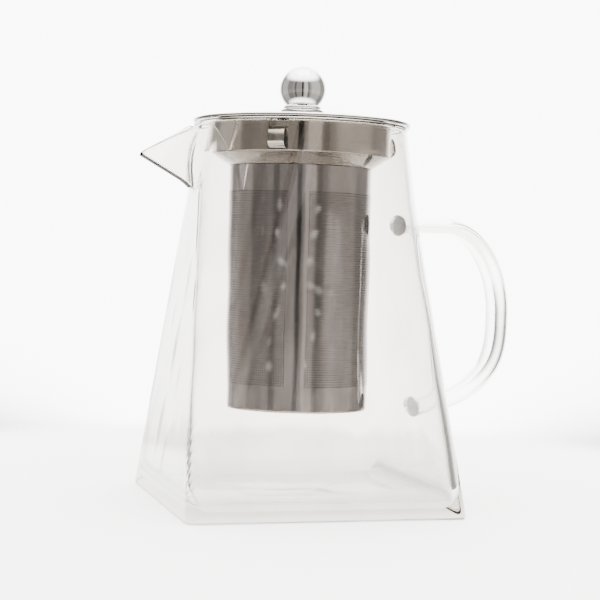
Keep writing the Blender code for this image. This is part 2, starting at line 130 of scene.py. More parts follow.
class Graph:
    """Adds nodes to one node tree."""

    def __init__(self, tree: bpy.types.NodeTree) -> None:
        """Keeps the tree to add to."""
        self.tree = tree

    def node(
        self,
        kind: str,
        settings: Optional[Dict[str, Any]] = None,
        inputs: Optional[Dict[Union[str, int], Any]] = None,
    ) -> bpy.types.Node:
        """Adds a node.

        Args:
            kind: The node's type name.
            settings: Properties, which are set first.
            inputs: Values or Sockets by the input's name or number.

        Returns:
            The new node.
        """
        made = self.tree.nodes.new(kind)
        for name, value in (settings or {}).items():
            setattr(made, name, value)
        self.fill(made, inputs or {})
        return made

    def fill(self, node: bpy.types.Node, inputs: Dict[Union[str, int], Any]) -> None:
        """Links Sockets to a node's inputs, and sets plain values on them."""
        for name, value in inputs.items():
            if isinstance(value, Socket):
                self.tree.links.new(value.link, node.inputs[name])
            else:
                node.inputs[name].default_value = value

    def out(
        self,
        kind: str,
        output: Union[str, int] = 0,
        settings: Optional[Dict[str, Any]] = None,
        inputs: Optional[Dict[Union[str, int], Any]] = None,
    ) -> Socket:
        """Adds a node and returns one of its outputs.

        Args:
            kind: The node's type name.
            output: The output's name or number.
            settings: Properties, which are set first.
            inputs: Values or Sockets by the input's name or number.

        Returns:
            The chosen output.
        """
        return Socket(self, self.node(kind, settings, inputs).outputs[output])

    def maths(self, operation: str, *values: Value) -> Socket:
        """A Math node on one to three values."""
        return self.out("ShaderNodeMath", 0, {"operation": operation}, dict(enumerate(values)))

    def smooth(self, value: Value, low: float, high: float, start: float, end: float) -> Socket:
        """Maps low..high smoothly to start..end, and holds the ends."""
        inputs = {"Value": value, "From Min": low, "From Max": high, "To Min": start, "To Max": end}
        return self.out("ShaderNodeMapRange", 0, {"interpolation_type": "SMOOTHSTEP"}, inputs)

    def mix_colour(self, factor: Value, first: "Shade", second: "Shade") -> Socket:
        """A Mix node on two colours or links."""
        first, second = (way if isinstance(way, Socket) else (*way, 1.0) for way in (first, second))
        return self.out("ShaderNodeMix", 2, {"data_type": "RGBA"}, {0: factor, 6: first, 7: second})

    def split(self, vector: Socket) -> Tuple[Socket, Socket, Socket]:
        """The X, Y and Z of a vector."""
        parts = self.node("ShaderNodeSeparateXYZ", None, {0: vector})
        return tuple(Socket(self, parts.outputs[i]) for i in range(3))

    def bump(self, height: Socket, distance: float) -> Socket:
        """A normal that follows a height."""
        return self.out("ShaderNodeBump", 0, None, {"Height": height, "Distance": distance, "Strength": 1.0})

    def noise(self, where: Socket, scale: float, detail: float = 2.0) -> Socket:
        """A noise pattern from 0 to 1."""
        inputs = {"Vector": where, "Scale": scale, "Detail": detail}
        return self.out("ShaderNodeTexNoise", 0, None, inputs)


def new_material(name: str) -> Tuple[bpy.types.Material, Graph, bpy.types.Node]:
    """A node material with its graph and its Principled node."""
    material = bpy.data.materials.new(name)
    material.use_nodes = True
    graph = Graph(material.node_tree)
    return material, graph, material.node_tree.nodes["Principled BSDF"]


@dataclass(frozen=True)
class SteelFinish:
    """Polished stainless steel with fine polishing lines and handling marks, and painted shade on faces that
    turn downwards where a shade colour is given.
    """

    name: str
    light: Colour
    dark: Colour
    roughness: float
    smudge: float
    grain: Grain
    grain_scale: float = 2600.0
    grain_height: float = 0.0000012
    stretch: float = 0.03
    mark_scale: float = 55.0
    # Colour of the painted shade on faces that turn downwards, or None for none.
    painted_shade_colour: Optional[Colour] = None
    shaded_from: float = -0.05
    shaded_to: float = -0.55

    def make(self) -> bpy.types.Material:
        """Builds the material."""
        material, graph, shader = new_material(self.name)
        where = graph.out("ShaderNodeTexCoord", "Object")
        marks = graph.noise(where, self.mark_scale, 3.0)
        lines = graph.noise(self.grain_place(graph, where), self.grain_scale, 2.0)
        tone = graph.smooth(marks * 0.6 + lines * 0.4, 0.35, 0.65, 0.0, 1.0)
        colour = graph.mix_colour(tone, self.light, self.dark)
        # Painted shade: the colour darkens towards the shade colour as the face's normal turns downwards.
        if self.painted_shade_colour is not None:
            upward = graph.split(graph.out("ShaderNodeNewGeometry", "Normal"))[2]
            painted_shade_share = graph.smooth(upward, self.shaded_to, self.shaded_from, 1.0, 0.0)
            colour = graph.mix_colour(painted_shade_share, colour, self.painted_shade_colour)
        rough = marks * self.smudge + lines * (self.smudge * 0.5) + self.roughness
        normal = graph.bump(lines, self.grain_height)
        graph.fill(shader, {"Base Color": colour, "Roughness": rough, "Normal": normal, "Metallic": 1.0})
        return material

    def grain_place(self, graph: Graph, where: Socket) -> Socket:
        """Coordinates that the polishing lines are drawn on.

        Args:
            graph: The material's graph.
            where: Object coordinates.

        Returns:
            A vector that changes slowly along the lines and quickly across them.
        """
        if self.grain is Grain.NONE:
            return where
        if self.grain is Grain.UPRIGHT:
            settings = {"operation": "MULTIPLY"}
            return graph.out("ShaderNodeVectorMath", 0, settings, {0: where, 1: (1.0, 1.0, self.stretch)})
        x, y, z = graph.split(where)
        radius = graph.maths("SQRT", x * x + y * y)
        return graph.out("ShaderNodeCombineXYZ", 0, None, {"X": radius, "Z": z})


@dataclass(frozen=True)
class GlassFinish:
    """Clear blown glass, a little wavy, with a faint film and a warm tint in its depth."""

    name: str
    tint: Colour
    film: Colour
    ior: float
    roughness: float
    wave_scale: float
    wave_height: float
    depth_colour: Colour
    depth_density: float
    ripple: float = 0.0
    ripple_pitch: float = 0.0017
    ripple_height: float = 0.045
    ripple_reach: float = 0.030

    def ripples(self, graph: Graph, where: Socket) -> Socket:
        """Mould ripples, nested arcs round the foot of each upright corner.

        Args:
            graph: The material's graph.
            where: Object coordinates.

        Returns:
            The ripples' height, from -1 to 1, nothing away from the corners.
        """
        x, y, z = graph.split(where)
        across = graph.maths("ABSOLUTE", x) - graph.maths("ABSOLUTE", y)
        away = graph.maths("SQRT", across * across + z * z * 0.12)
        drift = graph.noise(where, 30.0, 1.0) * 9.0
        arcs = graph.maths("SINE", away * (2 * pi / self.ripple_pitch) + drift)
        low = graph.smooth(z, self.ripple_height * 0.4, self.ripple_height, 1.0, 0.0)
        near = graph.smooth(away, self.ripple_reach * 0.3, self.ripple_reach, 1.0, 0.0)
        spout_side = graph.smooth(x, -0.030, -0.010, 1.0, 0.0)
        return arcs * low * near * spout_side

    def make(self) -> bpy.types.Material:
        """Builds the material."""
        material, graph, shader = new_material(self.name)
        where = graph.out("ShaderNodeTexCoord", "Object")
        film = graph.noise(where, 38.0, 4.0)
        waves = graph.noise(where, self.wave_scale, 1.0)
        if self.ripple:
            waves = waves + self.ripples(graph, where) * (self.ripple / self.wave_height)
        colour = graph.mix_colour(graph.smooth(film, 0.40, 0.66, 0.0, 1.0), self.tint, self.film)
        graph.fill(shader, {"Base Color": colour, "Normal": graph.bump(waves, self.wave_height)})
        graph.fill(shader, {"Roughness": self.roughness, "Transmission Weight": 1.0, "IOR": self.ior})
        inputs = {"Color": (*self.depth_colour, 1.0), "Density": self.depth_density}
        depth = graph.out("ShaderNodeVolumeAbsorption", 0, None, inputs)
        output = material.node_tree.nodes["Material Output"]
        graph.tree.links.new(depth.link, output.inputs["Volume"])
        return material


BODY_GLASS = GlassFinish(
    "blown_glass",
    (0.83, 0.812, 0.80),
    (0.768, 0.746, 0.722),
    1.47,
    0.0,
    45.0,
    0.00003,
    (0.62, 0.585, 0.46),
    23.0,
    ripple=0.000012,
)
HANDLE_GLASS = GlassFinish(
    "handle_glass", (0.97, 0.97, 0.965), (0.95, 0.95, 0.94), 1.47, 0.0, 60.0, 0.00002, (0.80, 0.76, 0.64), 8.0
)
TUBE_STEEL = SteelFinish(
    "tube_steel", (0.54, 0.51, 0.505), (0.48, 0.45, 0.445), 0.05, 0.04, Grain.UPRIGHT
)
# Etched, matte steel whose very dark colour is painted shade inside the tube and in its holes.
ETCHED_STEEL_PAINTED_SHADE = SteelFinish(
    "etched_steel_painted_shade", (0.17, 0.16, 0.155), (0.12, 0.112, 0.108), 0.40, 0.15, Grain.NONE
)
PRESSED_STEEL = SteelFinish(
    "pressed_steel",
    (0.60, 0.56, 0.50),
    (0.53, 0.49, 0.44),
    0.06,
    0.04,
    Grain.ROUND,
    # Painted shade on faces that turn downwards, such as under the collar's flange.
    painted_shade_colour=(0.15, 0.132, 0.110),
)
SPRING_STEEL = SteelFinish(
    "spring_steel", (0.46, 0.43, 0.385), (0.40, 0.375, 0.335), 0.10, 0.06, Grain.UPRIGHT
)
LID_STEEL = SteelFinish(
    "lid_steel",
    (0.80, 0.785, 0.765),
    (0.74, 0.72, 0.70),
    0.045,
    0.03,
    Grain.ROUND,
    # Painted shade: lid faces that don't face well upwards, the brim's bead too, turn a dark brown.
    painted_shade_colour=(0.21, 0.187, 0.16),
    shaded_from=0.70,
    shaded_to=0.15,
)
BALL_STEEL = SteelFinish(
    "ball_steel", (0.72, 0.715, 0.705), (0.67, 0.665, 0.655), 0.02, 0.02, Grain.NONE, mark_scale=140.0
)


# ---------------------------------------------------------------- mesh tools


def add_piece(
    name: str,
    vertices: Sequence[Sequence[float]],
    faces: Sequence[Sequence[int]],
    smooth_angle: float = SMOOTH_ANGLE,
) -> bpy.types.Object:
    """Makes an object of a closed mesh, with its faces turned outwards.

    Args:
        name: The piece's name.
        vertices: Points in the row frame.
        faces: Corner numbers of each face.
        smooth_angle: Edges sharper than this stay sharp.

    Returns:
        The new object, at the origin.
    """
    points = np.asarray(vertices, float)
    volume = 0.0
    for face in faces:
        first = points[face[0]]
        for i in range(1, len(face) - 1):
            volume += float(first @ np.cross(points[face[i]], points[face[i + 1]]))
    if volume < 0:
        faces = [tuple(reversed(face)) for face in faces]
    mesh = bpy.data.meshes.new(name)
    mesh.from_pydata(points.tolist(), [], [tuple(face) for face in faces])
    mesh.shade_smooth()
    mesh.set_sharp_from_angle(angle=smooth_angle)
    mesh.update()
    piece = bpy.data.objects.new(name, mesh)
    bpy.context.scene.collection.objects.link(piece)
    return piece


def loft(
    name: str, rings: Sequence[np.ndarray], closed: bool = False, capped: bool = False
) -> bpy.types.Object:
    """Joins rings of points with faces.

    Args:
        name: The piece's name.
        rings: Rings of equal length, or single points for poles.
        closed: Joins the last ring to the first.
        capped: Shuts both ends with one flat face each.

    Returns:
        The piece.
    """
    loops, count = [], 0
    for ring in rings:
        loops.append(list(range(count, count + len(ring))))
        count += len(ring)
    pairs = list(zip(loops, loops[1:]))
    if closed:
        pairs.append((loops[-1], loops[0]))
    faces: List[Tuple[int, ...]] = []
    for lower, upper in pairs:
        size = max(len(lower), len(upper))
        for i in range(size):
            j = (i + 1) % size
            corners = (
                lower[i % len(lower)],
                lower[j % len(lower)],
                upper[j % len(upper)],
                upper[i % len(upper)],
            )
            faces.append(tuple(dict.fromkeys(corners)))
    if capped:
        faces.append(tuple(reversed(loops[0])))
        faces.append(tuple(loops[-1]))
    return add_piece(name, np.concatenate([np.asarray(ring, float) for ring in rings]), faces)


def turned(name: str, outline: Profile, steps: int, closed: bool = True) -> bpy.types.Object:
    """A solid of revolution about +Z.

    Args:
        name: The piece's name.
        outline: Points (radius, height). A radius of 0 is a pole.
        steps: Sides round the axis.
        closed: Joins the outline's end to its start, for a ring.

    Returns:
        The piece.
    """
    angles = 2 * pi * np.arange(steps) / steps
    circle = np.stack([np.cos(angles), np.sin(angles)], 1)
    rings = []
    for radius, height in outline:
        around = circle if radius else np.zeros((1, 2))
        rings.append(np.column_stack([radius * around, np.full(len(around), height)]))
    return loft(name, rings, closed)


def arc(centre: Point2, radius: float, start: float, end: float, rows: int) -> Profile:
    """Points on an arc, from angle start to end in degrees."""
    angles = [radians(start + (end - start) * i / rows) for i in range(rows + 1)]
    return [(centre[0] + radius * cos(a), centre[1] + radius * sin(a)) for a in angles]


def rounded(path: Profile, radii: Sequence[float], rows: int = 7) -> Profile:
    """Rounds the inner corners of a path.

    Args:
        path: Corner points.
        radii: One bend radius for each corner between the ends.
        rows: Steps in each bend.

    Returns:
        The path with an arc in place of each corner.
    """
    points = [np.array(point) for point in path]
    made: Profile = [path[0]]
    for before, corner, after, radius in zip(points, points[1:], points[2:], radii):
        back = (before - corner) / np.linalg.norm(before - corner)
        on = (after - corner) / np.linalg.norm(after - corner)
        half = np.arccos(np.clip(back @ on, -1.0, 1.0)) / 2
        middle = (back + on) / np.linalg.norm(back + on)
        centre = corner + middle * radius / sin(half)
        start = corner + back * radius / tan(half) - centre
        end = corner + on * radius / tan(half) - centre
        sweep = pi - 2 * half
        for i in range(rows + 1):
            share = i / rows
            turn = (np.sin((1 - share) * sweep) * start + np.sin(share * sweep) * end) / np.sin(sweep)
            made.append((float(centre[0] + turn[0]), float(centre[1] + turn[1])))
    made.append(path[-1])
    return made


def sheet_outline(path: Profile, thickness: float, end_rows: int = 4) -> Profile:
    """Outline of a sheet that follows a middle line, with rounded ends.

    Args:
        path: The sheet's middle line.
        thickness: The sheet's thickness.
        end_rows: Steps round each end.

    Returns:
        A closed outline.
    """
    points = np.array(path)
    along = np.gradient(points, axis=0)
    along /= np.linalg.norm(along, axis=1)[:, None]
    out = np.stack([-along[:, 1], along[:, 0]], 1) * thickness / 2
    outline = [tuple(point) for point in points + out]
    for k in range(1, end_rows):
        angle = pi * k / end_rows
        outline.append(tuple(points[-1] + out[-1] * cos(angle) + along[-1] * sin(angle) * thickness / 2))
    outline += [tuple(point) for point in (points - out)[::-1]]
    for k in range(1, end_rows):
        angle = pi * k / end_rows
        outline.append(tuple(points[0] - out[0] * cos(angle) - along[0] * sin(angle) * thickness / 2))
    return outline


def box_cutter(name: str, size: Vector, centre: Vector, turn: float = 0.0) -> bpy.types.Object:
    """A box to cut with, turned about the axis through the origin."""
    bm = bmesh.new()
    bmesh.ops.create_cube(bm, size=1.0)
    bmesh.ops.scale(bm, vec=size, verts=bm.verts)
    bmesh.ops.translate(bm, vec=centre, verts=bm.verts)
    bmesh.ops.rotate(bm, cent=(0, 0, 0), matrix=Matrix.Rotation(turn, 3, "Z"), verts=bm.verts)
    mesh = bpy.data.meshes.new(name)
    bm.to_mesh(mesh)
    bm.free()
    cutter = bpy.data.objects.new(name, mesh)
    bpy.context.scene.collection.objects.link(cutter)
    return cutter


def cut_away(piece: bpy.types.Object, cutters: Sequence[bpy.types.Object]) -> None:
    """Cuts every cutter out of a piece, as plain mesh, and removes the cutters.

    Args:
        piece: The piece to cut.
        cutters: Closed objects.
    """
    for cutter in cutters:
        cut = piece.modifiers.new(cutter.name, "BOOLEAN")
        cut.operation = "DIFFERENCE"
        cut.solver = "EXACT"
        cut.object = cutter
    settle(piece)
    for cutter in cutters:
        bpy.data.objects.remove(cutter, do_unlink=True)


def settle(piece: bpy.types.Object) -> None:
    """Turns a piece's modifiers into plain mesh."""
    graph = bpy.context.evaluated_depsgraph_get()
    mesh = bpy.data.meshes.new_from_object(piece.evaluated_get(graph))
    piece.modifiers.clear()
    piece.data = mesh
    mesh.shade_smooth()
    mesh.set_sharp_from_angle(angle=SMOOTH_ANGLE)


def dress(
    piece: bpy.types.Object,
    finish: Union[SteelFinish, GlassFinish, None],
    body: Union[Body, str],
    slot: Slot,
    *nodes: str,
) -> None:
    """Gives a piece its material and its body, and hides the nodes that it stands for.

    Args:
        piece: The finished piece.
        finish: Its finish, or None where the piece has its materials.
        body: The body that it rides on.
        slot: The record's material slot; not used.
        *nodes: The CAD nodes that it replaces.
    """
    if finish is not None:
        piece.data.materials.clear()
        piece.data.materials.append(bpy.data.materials.get(finish.name) or finish.make())
    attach(piece, body.value if isinstance(body, Body) else body)
    if nodes:
        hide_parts(*nodes)
    LOG.info("%s: %d faces", piece.name, len(piece.data.polygons))


# ---------------------------------------------------------------- glass


def rounded_square(angle: np.ndarray, half_width: np.ndarray, corner: np.ndarray) -> np.ndarray:
    """Distance from the axis to a rounded square, in each direction."""
    turn = np.abs((angle + pi / 4) % (pi / 2) - pi / 4)
    centre = half_width - corner
    reach = corner**2 - centre**2 * (1 - np.sin(2 * turn))
    round_part = centre * (np.cos(turn) + np.sin(turn)) + np.sqrt(np.maximum(reach, 0.0))
    return np.where(half_width * np.tan(turn) <= centre, half_width / np.cos(turn), round_part)


@dataclass
class GlassPot:
    """The blown pot: a rounded square base that grows into a round neck, with a pulled spout."""

    base_width: float = 0.110
    base_corner: float = 0.004
    base_edge: float = 0.0012
    shoulder_height: float = 0.122
    shoulder_width: float = 0.0876
    shoulder_corner: float = 0.0355
    neck_taper: float = 0.0013
    rim_wall: float = 0.0019
    wall: float = 0.0023
    floor: float = 0.0032
    floor_edge: float = 0.008
    floor_dish: float = 0.0006
    punt: float = 0.0004
    punt_share: float = 0.15
    foot_share: float = 0.60
    pan_rows: int = 28
    least_corner: float = 0.0008
    inner_round: float = 0.0018
    tip_reach: float = 0.0655
    tip_drop: float = 0.0140
    root_drop: float = 0.0261
    half_angle: float = radians(17.0)
    keel_wall: float = 0.0032
    nose: float = 0.0012
    inner_nose: float = 0.0006
    crease: float = 0.0080
    wave: float = 0.00006
    corner_columns: int = 34
    crowding: float = 1.8
    spout_step: float = radians(0.7)
    spout_columns: int = 37
    wall_rows: int = 62
    neck_rows: int = 26
    edge_rows: int = 8
    lip_rows: int = 12
    halvings: int = 34
    height: float = field(init=False)

    def __post_init__(self) -> None:
        """Takes the rim's height from the frame."""
        self.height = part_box("glass_body")[1].z
        self.rim_radius = self.shoulder_width / 2 - self.neck_taper
        self.lip = self.height - self.rim_wall / 2
        self.tip = self.height - self.tip_drop
        self.root = self.height - self.root_drop

    def half_width(self, height: Any) -> Any:
        """Half width of the outer wall at a height."""
        base, shoulder = self.base_width / 2, self.shoulder_width / 2
        share = (height - self.shoulder_height) / (self.height - self.shoulder_height)
        low = base + (shoulder - base) * height / self.shoulder_height
        return np.where(height <= self.shoulder_height, low, shoulder + (self.rim_radius - shoulder) * share)

    def corner(self, height: Any) -> Any:
        """Corner radius of the outer wall at a height."""
        share = (height - self.shoulder_height) / (self.height - self.shoulder_height)
        low = self.base_corner + (self.shoulder_corner - self.base_corner) * height / self.shoulder_height
        high = self.shoulder_corner + (self.rim_radius - self.shoulder_corner) * share
        return np.where(height <= self.shoulder_height, low, high)

    def thickness(self, height: Any) -> Any:
        """Wall thickness, which thins from the shoulder to the rim."""
        share = np.maximum(height - self.shoulder_height, 0.0) / (self.height - self.shoulder_height)
        return self.wall + (self.rim_wall - self.wall) * share

    def wall_radius(self, angle: np.ndarray, height: Any, inset: Any) -> np.ndarray:
        """Distance from the axis to the wall, moved in by inset."""
        half = self.half_width(height)
        fill = self.inner_round * np.clip(1 - np.asarray(height) / self.shoulder_height, 0.0, 1.0)
        fill = fill * np.clip(np.asarray(inset) / self.wall, 0.0, 1.0)
        corner = np.minimum(np.maximum(self.corner(height) - inset + fill, self.least_corner), half - inset)
        return rounded_square(angle, half - inset, corner)

    def keel(self, height: Any, inside: bool) -> Any:
        """Distance from the axis to the spout's keel line at a height."""
        start = float(self.half_width(self.root))
        slope = (self.tip_reach - start) / (self.tip - self.root)
        reach = start + slope * (height - self.root)
        return reach - self.keel_wall if inside else reach

    def beak(self, turn: np.ndarray, height: Any, inside: bool) -> np.ndarray:
        """Distance from the axis to the spout, two flat sides that meet in a rounded nose.

        Args:
            turn: Directions from the keel's, up to a quarter turn.
            height: Heights, one for each direction.
            inside: The inner surface and not the outer one.

        Returns:
            The distances.
        """
        nose = self.inner_nose if inside else self.nose
        centre = self.keel(height, inside) - nose
        apex = centre + nose / sin(self.half_angle)
        flat = apex * sin(self.half_angle) / np.sin(turn + self.half_angle)
        curved = centre * np.cos(turn) + np.sqrt(np.maximum(nose**2 - (centre * np.sin(turn)) ** 2, 0.0))
        meets = np.arctan2(nose * cos(self.half_angle), centre + nose * sin(self.half_angle))
        return np.where(turn < meets, curved, flat)

    def radius(self, angle: np.ndarray, height: Any, inside: bool) -> np.ndarray:
        """Distance from the axis to the glass, with the spout's crease softened.

        Args:
            angle: Directions.
            height: Heights, one for each direction.
            inside: The inner surface and not the outer one.

        Returns:
            The distances.
        """
        height = np.broadcast_to(np.asarray(height, float), angle.shape)
        inset = self.thickness(height) if inside else 0.0
        wall = self.wall_radius(angle, height, inset)
        if inside:
            wall = wall + self.waviness(angle, height)
        turn = np.abs((angle % (2 * pi)) - pi)
        beak = self.beak(np.minimum(turn, pi / 2), height, inside)
        blend = np.maximum(self.crease - np.abs(beak - wall), 0.0) / self.crease
        joined = np.maximum(wall, beak) + blend**2 * self.crease / 4
        return np.where((height > self.root) & (turn < pi / 2), joined, wall)

    def waviness(self, angle: np.ndarray, height: np.ndarray) -> np.ndarray:
        """Slow ripples of the inner surface, which die out towards the rim."""
        fade = np.clip((self.shoulder_height - height) / 0.04, 0.0, 1.0)
        slow = np.sin(7 * angle + 60 * height) * np.sin(95 * height + 2.1)
        quick = 0.5 * np.sin(19 * angle - 140 * height)
        return self.wave * fade * (slow + quick)

    def lip_height(self, angle: np.ndarray, inside: bool) -> np.ndarray:
        """Height where the glass ends, level round the rim and down a slope to the spout's tip."""
        turn = np.abs((angle % (2 * pi)) - pi)
        front = np.minimum(turn, pi / 2)
        slope = (self.lip - self.tip) / (self.tip_reach - self.rim_radius)
        low = np.full(angle.shape, self.root)
        high = np.full(angle.shape, self.lip + self.tip_drop)
        for _ in range(self.halvings):
            middle = (low + high) / 2
            reach = self.beak(front, middle, inside) * np.cos(front)
            above = middle > self.lip - slope * (reach - self.rim_radius)
            high, low = np.where(above, middle, high), np.where(above, low, middle)
        return np.where(turn >= pi / 2, self.lip, np.minimum(self.lip, high))

    def columns(self) -> np.ndarray:
        """Directions of the mesh columns, close at the corners and across the spout."""
        found = set()
        for quarter in range(4):
            for i in range(self.corner_columns + 1):
                offset = (pi / 4) * (1 - (1 - i / self.corner_columns) ** self.crowding)
                for way in (-1, 1):
                    found.add(round((quarter * pi / 2 + way * offset) % (2 * pi), 6))
        span = self.spout_columns * self.spout_step
        kept = [angle for angle in found if abs(angle - pi) > span + self.spout_step / 2]
        kept += [pi + i * self.spout_step for i in range(-self.spout_columns, self.spout_columns + 1)]
        return np.array(sorted(kept))

    def ring(self, columns: np.ndarray, radius: np.ndarray, height: Any) -> np.ndarray:
        """One ring of points."""
        height = np.broadcast_to(height, columns.shape)
        return np.stack([radius * np.cos(columns), radius * np.sin(columns), height], 1)

    def edge_rings(self, columns: np.ndarray, low: float, radius: float, inset: float) -> List[np.ndarray]:
        """Rings from the floor at height low round its edge to the wall."""
        rings = []
        for i in range(self.edge_rows + 1):
            angle = (pi / 2) * i / self.edge_rows
            height = low + radius * (1 - cos(angle))
            moved = inset + radius * (1 - sin(angle))
            rings.append(self.ring(columns, self.wall_radius(columns, height, moved), height))
        return rings

    def side_rings(self, columns: np.ndarray, low: float, inside: bool) -> List[np.ndarray]:
        """Rings from height low up to the lip."""
        rings = []
        for i in range(1, self.wall_rows + 1):
            height = low + (self.root - low) * i / self.wall_rows
            rings.append(self.ring(columns, self.radius(columns, height, inside), height))
        for i in range(1, self.neck_rows + 1):
            heights = self.root + (self.lip_height(columns, inside) - self.root) * i / self.neck_rows
            rings.append(self.ring(columns, self.radius(columns, heights, inside), heights))
        return rings

    def lip_arc(self, outer: np.ndarray, inner: np.ndarray) -> List[np.ndarray]:
        """Rings over the fire-polished lip."""
        middle, across = (outer + inner) / 2, (outer - inner) / 2
        flat = across * np.array([1.0, 1.0, 0.0])
        length = np.linalg.norm(flat, axis=1)[:, None]
        up = -flat / length * across[:, 2:3]
        up[:, 2] = length[:, 0]
        turns = [pi * i / self.lip_rows for i in range(1, self.lip_rows)]
        return [middle + across * cos(turn) + up * sin(turn) for turn in turns]

    def pan(self, edge: np.ndarray, rise: float, share: float, level: float = 0.0) -> List[np.ndarray]:
        """Rings from the middle of the base out to an edge ring.

        Args:
            edge: The ring round the base.
            rise: How far the middle stands above the ring.
            share: How much of the way in the rise takes.
            level: How much of the way in stays level before the rise.

        Returns:
            The rings without the edge ring itself, the pole first.
        """
        rings = [np.array([[0.0, 0.0, edge[0, 2] + rise]])]
        for i in range(1, self.pan_rows):
            out = 1 - (1 - i / self.pan_rows) ** 1.6
            way = min(max((1 - out - level) / share, 0.0), 1.0)
            ring = edge * [out, out, 1.0]
            ring[:, 2] += rise * way * way * (3 - 2 * way)
            rings.append(ring)
        return rings

    def build(self) -> None:
        """Builds the pot as one closed glass wall."""
        columns = self.columns()
        outer = self.edge_rings(columns, 0.0, self.base_edge, 0.0)
        outer += self.side_rings(columns, self.base_edge, False)
        inner = self.edge_rings(columns, self.floor, self.floor_edge, self.wall)
        inner += self.side_rings(columns, self.floor + self.floor_edge, True)
        rings = self.pan(outer[0], self.punt, self.punt_share, self.foot_share)
        rings += outer + self.lip_arc(outer[-1], inner[-1]) + inner[::-1]
        rings += self.pan(inner[0], -self.floor_dish, 1.0)[::-1]
        pot = loft("glass_pot", rings)
        dress(pot, BODY_GLASS, Body.POT, Slot.GLASS, "glass_body")


@dataclass
class GlassHandle:
    """The handle: a flat glass band bowed between two pads on the wall."""

    pot: GlassPot
    width: float = 0.0176
    thickness: float = 0.0064
    reach: float = 0.0874
    top: float = 0.1126
    bottom: float = 0.0380
    bow: float = 0.0770
    straight: float = 0.0190
    upper_bend: Tuple[float, float] = (1.10, 1.00)
    lower_bend: Tuple[float, float] = (1.25, 0.64)
    pad_width: float = 0.0196
    pad_height: float = 0.0086
    pad_length: float = 0.0060
    straight_rows: int = 14
    bow_rows: int = 44
    sides: int = 44

    def line(self) -> np.ndarray:
        """Middle line from the upper pad to the lower one."""
        first = float(self.pot.half_width(self.top)) + FIT_GAP
        last = float(self.pot.half_width(self.bottom)) + FIT_GAP
        start = first + self.straight
        step = self.straight / self.straight_rows
        points = [(first + step * i, self.top) for i in range(self.straight_rows)]
        for i in range(self.bow_rows):
            angle = (pi / 2) * (1 - i / self.bow_rows)
            across, up = cos(angle) ** self.upper_bend[0], sin(angle) ** self.upper_bend[1]
            points.append((start + (self.reach - start) * across, self.bow + (self.top - self.bow) * up))
        for i in range(self.bow_rows + 1):
            angle = (pi / 2) * i / self.bow_rows
            across, down = max(cos(angle), 0.0) ** self.lower_bend[0], sin(angle) ** self.lower_bend[1]
            points.append((last + (self.reach - last) * across, self.bow - (self.bow - self.bottom) * down))
        return np.array([(x, 0.0, z) for x, z in points])

    def build(self) -> None:
        """Builds the handle as one closed band."""
        line = self.line()
        lean = atan2(self.pot.base_width - self.pot.shoulder_width, 2 * self.pot.shoulder_height)
        out = np.array([cos(lean), 0.0, sin(lean)])
        run = np.concatenate([[0.0], np.cumsum(np.linalg.norm(np.diff(line, axis=0), axis=1))])
        turns = 2 * pi * np.arange(self.sides) / self.sides
        rings = []
        for i, centre in enumerate(line):
            along = out if i == 0 else -out
            if 0 < i < len(line) - 1:
                along = line[i + 1] - line[i - 1]
            depth = np.cross([0.0, 1.0, 0.0], along)
            depth /= np.linalg.norm(depth)
            flare = max(0.0, 1 - min(run[i], run[-1] - run[i]) / self.pad_length) ** 2
            width = self.width + (self.pad_width - self.width) * flare
            height = self.thickness + (self.pad_height - self.thickness) * flare
            side = np.outer(np.cos(turns), [0.0, width / 2, 0.0])
            rings.append(centre + side + np.outer(np.sin(turns), depth * height / 2))
        handle = loft("glass_grip", rings, capped=True)
        dress(handle, HANDLE_GLASS, Body.POT, Slot.GLASS, "glass_handle")


# ---------------------------------------------------------------- infuser


